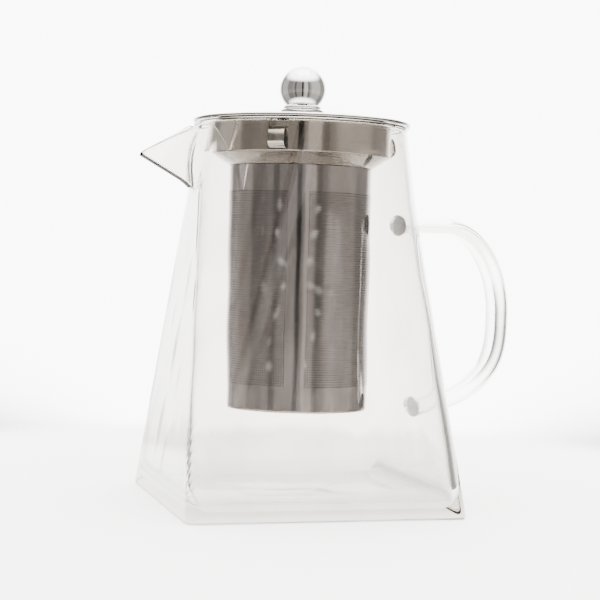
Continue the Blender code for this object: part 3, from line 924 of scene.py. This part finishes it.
@dataclass
class PerforatedTube:
    """The infuser's rolled tube: fine holes in rows, a plain seam strip and plain bands."""

    rows: int = 81
    columns: int = 188
    sheets: int = 4
    band_top: float = 0.0098
    band_bottom: float = 0.0087
    hole_radius: float = 0.00030
    hole_inner: float = 0.00013
    hole_sides: int = 8
    seam_direction: float = radians(253.0)
    seam_width: float = 0.0077
    seam_columns: int = 9
    dent: float = 0.00001
    weld_tolerance: float = 0.00002
    margin: float = 0.0010

    def __post_init__(self) -> None:
        """Takes the tube's size and place from the frame."""
        low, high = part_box("infuser_tube")
        self.radius = high.x
        self.low, self.high = low.z, high.z
        self.first = self.seam_direction + self.seam_width / self.radius / 2
        self.column_step = (2 * pi - self.seam_width / self.radius) / self.columns
        self.row_low = self.low + self.band_bottom
        self.row_step = (self.high - self.band_top - self.row_low) / self.rows

    def cell(self) -> bpy.types.Object:
        """One hole in its square of sheet, flat, with X along the tube's round and Y up."""
        half = (self.column_step * self.radius / 2, self.row_step / 2)
        corners = [(half[0], half[1]), (-half[0], half[1]), (-half[0], -half[1]), (half[0], -half[1])]
        count = len(corners) + self.hole_sides
        vertices: List[Tuple[float, float, float]] = []
        for hole, depth in ((self.hole_radius, 0.0), (self.hole_inner, -SHEET)):
            vertices += [(x, y, depth) for x, y in corners]
            for i in range(self.hole_sides):
                angle = pi / self.hole_sides + 2 * pi * i / self.hole_sides
                vertices.append((hole * cos(angle), hole * sin(angle), depth))
        faces: List[Tuple[int, ...]] = []
        per_side = self.hole_sides // 4
        for k in range(4):
            start = 4 + (k * per_side) % self.hole_sides
            chain = [4 + (start - 4 + i) % self.hole_sides for i in range(per_side)]
            after = 4 + (start - 4 + per_side) % self.hole_sides
            next_corner = (k + 1) % 4
            front = (k, next_corner, after, *reversed(chain))
            faces.append(front)
            faces.append(tuple(count + i for i in reversed(front)))
        for i in range(self.hole_sides):
            a, b = 4 + i, 4 + (i + 1) % self.hole_sides
            faces.append((a, b, count + b, count + a))
        mesh = bpy.data.meshes.new("hole_cell")
        mesh.from_pydata(vertices, [], faces)
        made = bpy.data.objects.new("hole_cell", mesh)
        bpy.context.scene.collection.objects.link(made)
        return made

    def tree(self) -> bpy.types.NodeTree:
        """Geometry Nodes that repeat the cell in rows and columns and roll the sheet up.

        Returns:
            The tree, with named inputs for its sizes.
        """
        tree = bpy.data.node_groups.new("perforated_sheet", "GeometryNodeTree")
        sockets = (
            ("Cell", "NodeSocketGeometry"),
            ("Columns", "NodeSocketInt"),
            ("Rows", "NodeSocketInt"),
            ("Column Pitch", "NodeSocketFloat"),
            ("Row Pitch", "NodeSocketFloat"),
            ("Radius", "NodeSocketFloat"),
            ("First Angle", "NodeSocketFloat"),
            ("Lowest", "NodeSocketFloat"),
            ("Dent", "NodeSocketFloat"),
            ("Material", "NodeSocketMaterial"),
        )
        for name, kind in sockets:
            tree.interface.new_socket(name, in_out="INPUT", socket_type=kind)
        tree.interface.new_socket("Sheet", in_out="OUTPUT", socket_type="NodeSocketGeometry")
        graph = Graph(tree)
        given = graph.node("NodeGroupInput")
        take = {name: Socket(graph, given.outputs[name]) for name, _ in sockets}
        width = (take["Columns"] - 1.0) * take["Column Pitch"]
        height = (take["Rows"] - 1.0) * take["Row Pitch"]
        inputs = {"Size X": width, "Size Y": height}
        inputs.update({"Vertices X": take["Columns"], "Vertices Y": take["Rows"]})
        grid = graph.out("GeometryNodeMeshGrid", "Mesh", None, inputs)
        inputs = {"Points": grid, "Instance": take["Cell"]}
        placed = graph.out("GeometryNodeInstanceOnPoints", 0, None, inputs)
        joined = graph.out("GeometryNodeRealizeInstances", 0, None, {0: placed})
        inputs = {"Geometry": joined, "Distance": self.weld_tolerance}
        welded = graph.out("GeometryNodeMergeByDistance", 0, None, inputs)
        x, y, z = graph.split(graph.out("GeometryNodeInputPosition"))
        angle = take["First Angle"] + (x + width * 0.5 + take["Column Pitch"] * 0.5) / take["Radius"]
        level = take["Lowest"] + y + height * 0.5 + take["Row Pitch"] * 0.5
        radius = take["Radius"] + z - self.dents(graph, take, angle, y, height)
        across, along = graph.maths("COSINE", angle), graph.maths("SINE", angle)
        inputs = {"X": radius * across, "Y": radius * along, "Z": level}
        rolled = graph.out("ShaderNodeCombineXYZ", 0, None, inputs)
        curved = graph.out("GeometryNodeSetPosition", 0, None, {"Geometry": welded, "Position": rolled})
        plain = graph.out("GeometryNodeRealizeInstances", 0, None, {0: curved})
        inputs = {"Geometry": plain, "Material": take["Material"]}
        dressed = graph.out("GeometryNodeSetMaterial", 0, None, inputs)
        graph.node("NodeGroupOutput", None, {"Sheet": dressed})
        return tree

    def dents(
        self, graph: Graph, take: Dict[str, Socket], angle: Socket, y: Socket, height: Socket
    ) -> Socket:
        """How far the thin sheet is dented inwards, nothing at its top and bottom rows.

        Args:
            graph: The tree's graph.
            take: The tree's inputs.
            angle: Direction of each point round the tube.
            y: Height of each point from the sheet's middle.
            height: Height of the sheet.

        Returns:
            The depth at each point.
        """
        share = y / (height * 0.5)
        fade = graph.smooth(1.0 - graph.maths("ABSOLUTE", share), 0.0, 0.18, 0.0, 1.0)
        slow = graph.maths("SINE", share * 22.0 + graph.maths("SINE", angle * 5.0) * 2.4)
        across = graph.maths("SINE", angle * 11.0 + share * 3.0)
        return take["Dent"] * fade * (slow * across * 0.5 + 0.5)

    def sheet(self, number: int, material: bpy.types.Material) -> bpy.types.Object:
        """One of the perforated sheets round the tube, closed along its edges.

        Args:
            number: Which sheet, counted from the seam.
            material: The tube's finish.

        Returns:
            The sheet as a plain mesh.
        """
        cell = self.cell()
        cell.name = f"tube_mesh_{number + 1}"
        tree = bpy.data.node_groups.get("perforated_sheet") or self.tree()
        modifier = cell.modifiers.new("perforation", "NODES")
        modifier.node_group = tree
        columns = self.columns // self.sheets
        values = {
            "Columns": columns,
            "Rows": self.rows,
            "Column Pitch": self.column_step * self.radius,
            "Row Pitch": self.row_step,
            "Radius": self.radius,
            "First Angle": self.first + number * columns * self.column_step,
            "Lowest": self.row_low,
            "Dent": self.dent,
            "Material": material,
        }
        for item in tree.interface.items_tree:
            if item.in_out == "INPUT" and item.name in values:
                modifier[item.identifier] = values[item.name]
        settle(cell)
        close_edges(cell)
        self.etch_and_paint_shade_inside(cell)
        return cell

    def etch_and_paint_shade_inside(self, sheet: bpy.types.Object) -> None:
        """Gives the holes and the inner face of a sheet the etched finish, whose dark colour is painted
        shade.
        """
        sheet.data.materials.clear()
        for finish in (TUBE_STEEL, ETCHED_STEEL_PAINTED_SHADE):
            sheet.data.materials.append(bpy.data.materials.get(finish.name) or finish.make())
        points = sheet.data.vertices
        limit = self.radius - SHEET / 2
        for face in sheet.data.polygons:
            inner = min(hypot(points[i].co.x, points[i].co.y) for i in face.vertices) < limit
            face.material_index = int(inner)

    def frame_faces(self) -> Tuple[np.ndarray, np.ndarray, List[Tuple[int, int]]]:
        """The plain part as a grid.

        Returns:
            The directions, the heights and the filled cells of the grid.
        """
        holes = [self.first + i * self.column_step for i in range(self.columns + 1)]
        last = holes[-1]
        turn = self.seam_width / self.radius
        strip = [last + turn * i / self.seam_columns for i in range(1, self.seam_columns)]
        levels = [self.low, self.low + self.margin, self.row_low - self.margin, self.row_low]
        top = self.row_low + self.rows * self.row_step
        levels += [self.row_low + self.row_step * i for i in range(1, self.rows)]
        levels += [top, top + self.margin, self.high - self.margin, self.high]
        angles = np.array(holes + strip)
        window = range(3, 3 + self.rows)
        filled = []
        for column in range(len(angles)):
            for row in range(len(levels) - 1):
                if column < self.columns and row in window:
                    continue
                filled.append((column, row))
        return angles, np.array(levels), filled

    def plain_part(self) -> bpy.types.Object:
        """The bands and the seam strip as one closed wall with a window for the mesh."""
        angles, levels, filled = self.frame_faces()
        columns, rows = len(angles), len(levels)
        numbers: Dict[Tuple[int, int, int], int] = {}
        vertices: List[Tuple[float, float, float]] = []

        def corner(column: int, row: int, depth: int) -> int:
            """The number of a grid point on the outer or the inner face."""
            key = (column % columns, row, depth)
            if key not in numbers:
                radius = self.radius - SHEET * depth
                angle = angles[key[0]]
                numbers[key] = len(vertices)
                vertices.append((radius * cos(angle), radius * sin(angle), float(levels[row])))
            return numbers[key]

        held = set(filled)
        faces: List[Tuple[int, ...]] = []
        for column, row in filled:
            square = [(column, row), (column + 1, row), (column + 1, row + 1), (column, row + 1)]
            faces.append(tuple(corner(c, r, 0) for c, r in square))
            faces.append(tuple(corner(c, r, 1) for c, r in reversed(square)))
            sides = [(0, -1), (1, 0), (0, 1), (-1, 0)]
            for k, (dc, dr) in enumerate(sides):
                if ((column + dc) % columns, row + dr) in held:
                    continue
                start, end = square[k], square[(k + 1) % 4]
                wall = (corner(*end, 0), corner(*start, 0), corner(*start, 1), corner(*end, 1))
                faces.append(wall)
        return add_piece("tube_bands", vertices, faces)

    def build(self) -> None:
        """Builds the plain part and the perforated sheets."""
        bands = self.plain_part()
        dress(bands, TUBE_STEEL, Body.INFUSER, Slot.STEEL, "infuser_tube")
        for number in range(self.sheets):
            sheet = self.sheet(number, bands.data.materials[0])
            dress(sheet, None, Body.INFUSER, Slot.STEEL)


def close_edges(piece: bpy.types.Object) -> None:
    """Closes the open edge of a sheet that has two faces but no sides."""
    bm = bmesh.new()
    bm.from_mesh(piece.data)
    edges = [edge for edge in bm.edges if edge.is_boundary]
    bmesh.ops.bridge_loops(bm, edges=edges)
    bmesh.ops.recalc_face_normals(bm, faces=bm.faces)
    bm.to_mesh(piece.data)
    bm.free()
    piece.data.shade_smooth()
    piece.data.set_sharp_from_angle(angle=SMOOTH_ANGLE)


@dataclass
class Collar:
    """The pressed collar that hangs on the rim, with its three spring leaves and the infuser's base."""

    wall_radius: float = 0.0360
    roll: float = 0.0009
    cone_depth: float = 0.0045
    depth: float = 0.0120
    spigot: float = 0.0035
    spring_width: float = 0.0062
    spring_slot: float = 0.0006
    spring_height: float = 0.0078
    peak_rise: float = 0.0030
    tip_lean: float = 0.0016
    window_head: float = 0.0034
    spring_peak: float = 0.0403
    leaf_corner: float = 0.0007
    leaf_root_rows: int = 14
    leaf_rows: int = 16
    base_sheet: float = 0.0008
    base_step: float = 0.0003
    base_steps: Tuple[float, float, float, float] = (0.50, 0.52, 0.60, 0.62)
    base_fillet: float = 0.0004
    steps: int = 240
    springs: Tuple[Tuple[str, float], ...] = (("handle", 0.0), ("back", 120.0), ("front", 240.0))

    def __post_init__(self) -> None:
        """Takes the collar's place from the frame."""
        low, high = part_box("infuser_collar")
        self.top = high.z
        self.flange_radius = high.x
        self.low = low.z
        self.wall_bottom = self.top - SHEET - self.depth
        self.root = self.wall_bottom + SHEET + FIT_GAP + SHEET / 2
        self.tube_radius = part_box("infuser_tube")[1].x

    def shell(self) -> bpy.types.Object:
        """Flange, wall, cone and spigot pressed from one sheet."""
        middle = self.wall_radius - SHEET / 2
        cone_bottom = self.wall_bottom - self.cone_depth
        spigot = self.tube_radius - SHEET - FIT_GAP - SHEET / 2
        path = [
            (self.flange_radius - SHEET / 2, self.top - SHEET / 2),
            (middle, self.top - SHEET / 2),
            (middle, self.wall_bottom + SHEET / 2),
            (self.tube_radius - SHEET / 4, cone_bottom + SHEET / 2),
            (spigot, cone_bottom + SHEET / 4),
            (spigot, self.low + SHEET / 2),
        ]
        path = rounded(path, (self.roll + SHEET / 2, 0.0007, 0.00022, 0.00025))
        collar = turned("collar_shell", sheet_outline(path, SHEET), self.steps)
        width = self.spring_width + 2 * self.spring_slot
        low, high = self.wall_bottom + SHEET, self.root + self.spring_height + self.window_head
        sag = self.wall_radius * (1 - cos(asin(width / 2 / self.wall_radius)))
        size = Vector((sag + 4 * SHEET, width, high - low))
        centre = Vector((middle, 0.0, (high + low) / 2))
        cutters = [box_cutter(f"window_{side}", size, centre, radians(turn)) for side, turn in self.springs]
        cut_away(collar, cutters)
        return collar

    def leaf(self, side: str, turn: float) -> bpy.types.Object:
        """A spring leaf: out in a quarter turn from its root, then a lean back in."""
        root, peak = self.wall_radius - SHEET / 2, self.spring_peak - SHEET / 2
        points = []
        for i in range(self.leaf_root_rows + 1):
            angle = (pi / 2) * i / self.leaf_root_rows
            points.append((root + (peak - root) * sin(angle), self.peak_rise * (1 - cos(angle))))
        for i in range(1, self.leaf_rows + 1):
            share = i / self.leaf_rows
            height = self.peak_rise + (self.spring_height - self.peak_rise) * share
            points.append((peak - self.tip_lean * share**2, height))
        line = np.array([(radius, 0.0, self.root + height) for radius, height in points])
        along = np.gradient(line, axis=0)
        along /= np.linalg.norm(along, axis=1)[:, None]
        spin = np.array(Matrix.Rotation(radians(turn), 3, "Z"))
        rings = []
        for point, way in zip(line, along):
            out = np.array([way[2], 0.0, -way[0]])
            to_tip = (line[-1] - point) @ way
            short = max(self.leaf_corner - to_tip, 0.0)
            level = max(self.leaf_corner**2 - short**2, 0.0) ** 0.5
            half = self.spring_width / 2 - (self.leaf_corner - level)
            section = self.section(half)
            ring = [point + np.array([0.0, across, 0.0]) + out * depth for across, depth in section]
            rings.append(np.array(ring) @ spin.T)
        return loft(f"spring_leaf_{side}", rings, capped=True)

    def section(self, half: float) -> List[Point2]:
        """Rounded section of a leaf, across its width and thickness."""
        bevel = SHEET * 0.3
        points: List[Point2] = []
        for sx, sy, start in ((1, -1, -90), (1, 1, 0), (-1, 1, 90), (-1, -1, 180)):
            centre = (sx * (half - bevel), sy * (SHEET / 2 - bevel))
            points += arc(centre, bevel, start, start + 90, 2)
        return points

    def base(self) -> bpy.types.Object:
        """The pressed base: a shallow stepped disc with a rolled edge and a rim inside the tube."""
        low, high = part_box("infuser_base")
        top = low.z + self.base_sheet
        edge, fillet = self.base_sheet / 2, self.base_fillet
        rim_outer = self.tube_radius - SHEET - FIT_GAP
        rim_inner = rim_outer - SHEET
        radius = high.x
        rises = (0.0, self.base_step, self.base_step, 0.0)
        pressed = [(radius * share, rise) for share, rise in zip(self.base_steps, rises)]
        outline = [(0.0, top)] + [(out, top + rise) for out, rise in pressed] + [(rim_inner - fillet, top)]
        outline += arc((rim_inner - fillet, top + fillet), fillet, -90, 0, 4)[1:]
        outline += arc((rim_inner + SHEET / 2, high.z - SHEET / 2), SHEET / 2, 180, 0, 6)
        outline.append((rim_outer, top))
        outline += arc((radius - edge, low.z + edge), edge, 90, -90, 14)
        outline += [(out, low.z + rise) for out, rise in reversed(pressed)] + [(0.0, low.z)]
        return turned("infuser_bottom", outline, self.steps, closed=False)

    def build(self) -> None:
        """Builds the collar, the leaves and the base."""
        dress(self.shell(), PRESSED_STEEL, Body.INFUSER, Slot.STEEL, "infuser_collar")
        dress(self.base(), PRESSED_STEEL, Body.INFUSER, Slot.STEEL, "infuser_base")
        for side, turn in self.springs:
            leaf = self.leaf(side, turn)
            dress(leaf, SPRING_STEEL, f"spring_{side}", Slot.STEEL, f"infuser_spring_{side}")


# ---------------------------------------------------------------- lid


@dataclass
class Lid:
    """The domed cover with its skirt and the screwed ball knob."""

    sheet: float = 0.0006
    bead: float = 0.0007
    brim_width: float = 0.0048
    dome_rise: float = 0.0048
    hole: float = 0.0023
    turn_in: float = 0.0040
    grip: float = 0.0070
    screw_radius: float = 0.0020
    recess: float = 0.0009
    steps: int = 288
    small_steps: int = 96

    def __post_init__(self) -> None:
        """Takes the lid's place and size from the frame."""
        low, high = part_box("lid_cover")
        self.seat = low.z
        self.radius = high.x
        self.brim_top = self.seat + 2 * self.bead
        self.crown = self.brim_top + self.dome_rise
        self.dome_edge = self.radius - self.brim_width
        self.sphere = (self.dome_edge**2 + self.dome_rise**2) / (2 * self.dome_rise)

    def dome(self, radius: float, sink: float = 0.0) -> float:
        """Height of the dome at a radius, moved down by sink."""
        return self.crown - sink - (self.sphere - (self.sphere**2 - radius**2) ** 0.5)

    def cover(self) -> bpy.types.Object:
        """Dome, brim and beaded edge pressed from one sheet."""
        rows = 40
        radii = [self.hole + (self.dome_edge - self.hole) * i / rows for i in range(rows + 1)]
        roll = self.radius - self.bead
        top = [(radius, self.dome(radius)) for radius in radii]
        top[-1:] = arc((self.dome_edge + 0.0002, self.brim_top + 0.0030), 0.0030, -104, -90, 6)
        outline = top + arc((roll, self.seat + self.bead), self.bead, 90, -90, 16)
        outline += arc((roll, self.seat + self.bead), self.bead * 0.35, -90, -180, 5)[1:]
        outline.append((roll - self.bead, self.brim_top - self.sheet))
        outline += [(radius, self.dome(radius, self.sheet)) for radius in reversed(radii)]
        return turned("lid_dome", outline, self.steps)

    def skirt(self) -> bpy.types.Object:
        """The ring that locates the lid in the collar."""
        low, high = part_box("lid_skirt")
        middle = high.x - SHEET / 2
        sink = self.sheet + FIT_GAP + SHEET / 2
        inner = high.x - self.turn_in
        path = [(radius, self.dome(radius, sink)) for radius in (inner, middle)]
        path = rounded(path + [(middle, low.z + SHEET / 2)], (0.0006,))
        return turned("lid_locating_ring", sheet_outline(path, SHEET), self.steps)

    def ring(self) -> bpy.types.Object:
        """The collar under the ball."""
        low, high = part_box("knob_ring")
        edge = (high.z - low.z) / 2
        outline = arc((high.x - edge, low.z + edge), edge, 90, -90, 16)
        outline += [(self.hole, low.z), (self.hole, high.z)]
        return turned("knob_collar", outline, self.small_steps)

    def ball(self) -> bpy.types.Object:
        """The ball with its flat seat and screw hole."""
        low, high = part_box("knob_ball")
        radius = high.x
        centre = high.z - radius
        seat = (radius**2 - (centre - low.z) ** 2) ** 0.5
        start = -np.degrees(np.arccos(seat / radius))
        top = low.z + self.grip + FIT_GAP
        outline = [(0.0, top), (self.hole, top), (self.hole, low.z)]
        outline += arc((0.0, centre), radius, start, 90, 64)[:-1]
        outline.append((0.0, high.z))
        return turned("knob_sphere", outline, self.small_steps, closed=False)

    def washer(self) -> bpy.types.Object:
        """The washer under the cover."""
        low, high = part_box("knob_washer")
        bevel = (high.z - low.z) / 4
        outline = [(high.x - bevel, high.z), (high.x, high.z - bevel), (high.x, low.z + bevel)]
        outline += [(high.x - bevel, low.z), (self.hole, low.z), (self.hole, high.z)]
        return turned("knob_flat_washer", outline, self.small_steps)

    def screw(self) -> bpy.types.Object:
        """The pan head screw with a cross recess."""
        low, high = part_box("knob_screw")
        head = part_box("knob_washer")[0].z - FIT_GAP
        edge = (head - low.z) / 2
        outline = [(0.0, high.z), (self.screw_radius * 0.8, high.z), (self.screw_radius, high.z - 0.0004)]
        outline += [(self.screw_radius, head), (high.x, head)]
        outline += arc((high.x - edge, low.z + edge), edge, 0, -90, 10)
        outline.append((0.0, low.z))
        screw = turned("knob_fixing_screw", outline, self.small_steps, closed=False)
        arm, depth = self.recess * 0.7, self.recess * 1.2
        size = Vector((self.recess * 4.2, arm, depth * 2))
        cutters = [box_cutter(f"recess_{i}", size, Vector((0, 0, low.z)), i * pi / 2) for i in range(2)]
        cut_away(screw, cutters)
        return screw

    def build(self) -> None:
        """Builds the six pieces of the lid."""
        dress(self.cover(), LID_STEEL, Body.LID, Slot.MIRROR, "lid_cover")
        dress(self.skirt(), PRESSED_STEEL, Body.LID, Slot.STEEL, "lid_skirt")
        dress(self.ring(), BALL_STEEL, Body.LID, Slot.MIRROR, "knob_ring")
        dress(self.ball(), BALL_STEEL, Body.LID, Slot.MIRROR, "knob_ball")
        dress(self.washer(), PRESSED_STEEL, Body.LID, Slot.STEEL, "knob_washer")
        dress(self.screw(), PRESSED_STEEL, Body.LID, Slot.STEEL, "knob_screw")


# ---------------------------------------------------------------- studio


@dataclass(frozen=True)
class Lobe:
    """A soft patch of light or shade in the room, seen in the steel."""

    bearing: float
    spread: float
    edge: float
    strength: float


@dataclass
class Studio:
    """The floor, the white backdrop, the room light and the camera."""

    bearing: float = radians(-16.25)
    camera_bearing: float = radians(-16.13)
    distance: float = 0.6163
    height: float = 0.09675
    tilt: float = radians(1.467)
    roll: float = radians(1.633)
    lens: float = 91.6
    sensor: float = 36.0
    floor_radius: float = 4.0
    floor_sides: int = 96
    floor_roughness: float = 0.9
    near: Tuple[float, float] = (0.23, 0.31)
    backdrop: Tuple[float, float] = (130.0, 166.0)
    above: Tuple[float, float] = (0.48, 0.82)
    light_size: float = 0.9
    light_height: float = 1.3
    light_energy: float = 8.0
    white: float = 10.0
    overhead: float = 9.0
    # Strength of the painted glow on the floor near the pot.
    floor_glow: float = 1.6
    pale: Colour = (0.82, 0.82, 0.81)
    # Near-black floor colour farther out, under the painted glow of the room.
    shade: Colour = (0.015, 0.0145, 0.014)
    room: Colour = (0.55, 0.52, 0.495)
    lobes: Tuple[Lobe, ...] = (
        Lobe(17.0, 7.0, 2.5, 0.75),
        Lobe(72.0, 20.0, 14.0, 0.50),
        Lobe(-100.0, 16.0, 6.0, 0.36),
        Lobe(0.0, 3.0, 1.2, -0.51),
        Lobe(32.0, 2.5, 2.0, -0.20),
        Lobe(-37.0, 4.0, 2.0, -0.30),
        Lobe(-67.0, 13.0, 4.0, -0.12),
    )

    def towards_camera(self) -> Tuple[float, float]:
        """The level direction from the object to the camera."""
        return sin(self.bearing), -cos(self.bearing)

    def camera(self) -> None:
        """Places the camera."""
        data = bpy.data.cameras.new("camera")
        data.lens = self.lens
        data.sensor_width = self.sensor
        data.clip_start = 0.01
        camera = bpy.data.objects.new("camera", data)
        bpy.context.scene.collection.objects.link(camera)
        level = cos(self.tilt)
        back = Vector((sin(self.bearing) * level, -cos(self.bearing) * level, sin(self.tilt)))
        right = Vector((0, 0, 1)).cross(back).normalized()
        up = back.cross(right)
        turned_right = right * cos(self.roll) + up * sin(self.roll)
        turned_up = up * cos(self.roll) - right * sin(self.roll)
        turn = Matrix((turned_right, turned_up, back)).transposed().to_4x4()
        ahead = self.camera_bearing
        place = Vector((self.distance * sin(ahead), -self.distance * cos(ahead), self.height))
        camera.matrix_world = Matrix.Translation(place) @ turn
        bpy.context.scene.camera = camera

    def bearing_of(self, graph: Graph, x: Socket, y: Socket) -> Socket:
        """Degrees round the object from the camera's side, more towards its right."""
        front_x, front_y = self.towards_camera()
        ahead = x * front_x + y * front_y
        aside = x * -front_y + y * front_x
        return graph.maths("ARCTAN2", aside, ahead) * (180.0 / pi)

    def behind(self, graph: Graph, bearing: Socket) -> Socket:
        """1 towards the white backdrop and 0 towards the room."""
        return graph.smooth(graph.maths("ABSOLUTE", bearing), *self.backdrop, 0.0, 1.0)

    def room_colour(self, graph: Graph, bearing: Socket) -> Socket:
        """The room's light at each bearing, with its soft patches and the white backdrop.

        Args:
            graph: The graph to add to.
            bearing: Degrees from the camera's side.

        Returns:
            The colour.
        """
        level: Value = 1.0
        for lobe in self.lobes:
            off = graph.maths("ABSOLUTE", bearing - lobe.bearing)
            patch = graph.smooth(off, lobe.spread, lobe.spread + lobe.edge, 1.0, 0.0)
            level = patch * (lobe.strength / self.room[1]) + level
        room = graph.out("ShaderNodeVectorMath", 0, {"operation": "SCALE"}, {0: self.room, "Scale": level})
        return graph.mix_colour(self.behind(graph, bearing), room, (self.white,) * 3)

    def world(self) -> None:
        """Room light: a white backdrop behind the pot, dimmer round the camera, bright overhead."""
        world = bpy.data.worlds.new("room")
        bpy.context.scene.world = world
        world.use_nodes = True
        graph = Graph(world.node_tree)
        x, y, z = graph.split(graph.out("ShaderNodeTexCoord", "Generated"))
        room = self.room_colour(graph, self.bearing_of(graph, x, y))
        colour = graph.mix_colour(graph.smooth(z, *self.above, 0.0, 1.0), room, (self.overhead,) * 3)
        graph.fill(world.node_tree.nodes["Background"], {"Color": colour})

    def floor(self) -> None:
        """The floor: pale under the pot, with a painted glow that lifts its shadow; farther out near-black,
        with a painted glow of the room's light and shade, white behind the pot and as dim as the room
        elsewhere.
        """
        angles = 2 * pi * np.arange(self.floor_sides) / self.floor_sides
        ring = np.stack([np.cos(angles), np.sin(angles), np.zeros(self.floor_sides)], 1) * self.floor_radius
        mesh = bpy.data.meshes.new("floor")
        mesh.from_pydata(ring.tolist(), [], [tuple(range(self.floor_sides))])
        floor = bpy.data.objects.new("floor", mesh)
        bpy.context.scene.collection.objects.link(floor)
        material, graph, shader = new_material("floor_with_painted_glow")
        x, y, _ = graph.split(graph.out("ShaderNodeTexCoord", "Object"))
        near = graph.smooth(graph.maths("SQRT", x * x + y * y), *self.near, 1.0, 0.0)
        room = self.room_colour(graph, self.bearing_of(graph, x, y))
        # Painted light: the floor's emission, an even glow near the pot and the room's light and shade
        # farther out.
        glow = graph.mix_colour(near, room, (self.floor_glow,) * 3)
        # Near-black base colour farther out, so that only the painted glow shows there.
        colour = graph.mix_colour(near, self.shade, self.pale)
        graph.fill(shader, {"Base Color": colour, "Emission Color": glow, "Emission Strength": 1.0})
        graph.fill(shader, {"Roughness": self.floor_roughness, "Specular IOR Level": 0.0})
        mesh.materials.append(material)

    def lights(self) -> None:
        """One large soft light overhead."""
        data = bpy.data.lights.new("overhead", "AREA")
        data.shape = "SQUARE"
        data.size = self.light_size
        data.energy = self.light_energy
        light = bpy.data.objects.new("overhead", data)
        light.location = (0.0, 0.0, self.light_height)
        bpy.context.scene.collection.objects.link(light)

    def build(self) -> None:
        """Builds the studio."""
        self.camera()
        self.world()
        self.floor()
        self.lights()


def main() -> None:
    """Builds the studio and every piece of the teapot."""
    logging.basicConfig(level=logging.INFO, format="%(message)s")
    Studio().build()
    pot = GlassPot()
    pot.build()
    GlassHandle(pot).build()
    PerforatedTube().build()
    Collar().build()
    Lid().build()


if __name__ == "__main__":
    main()
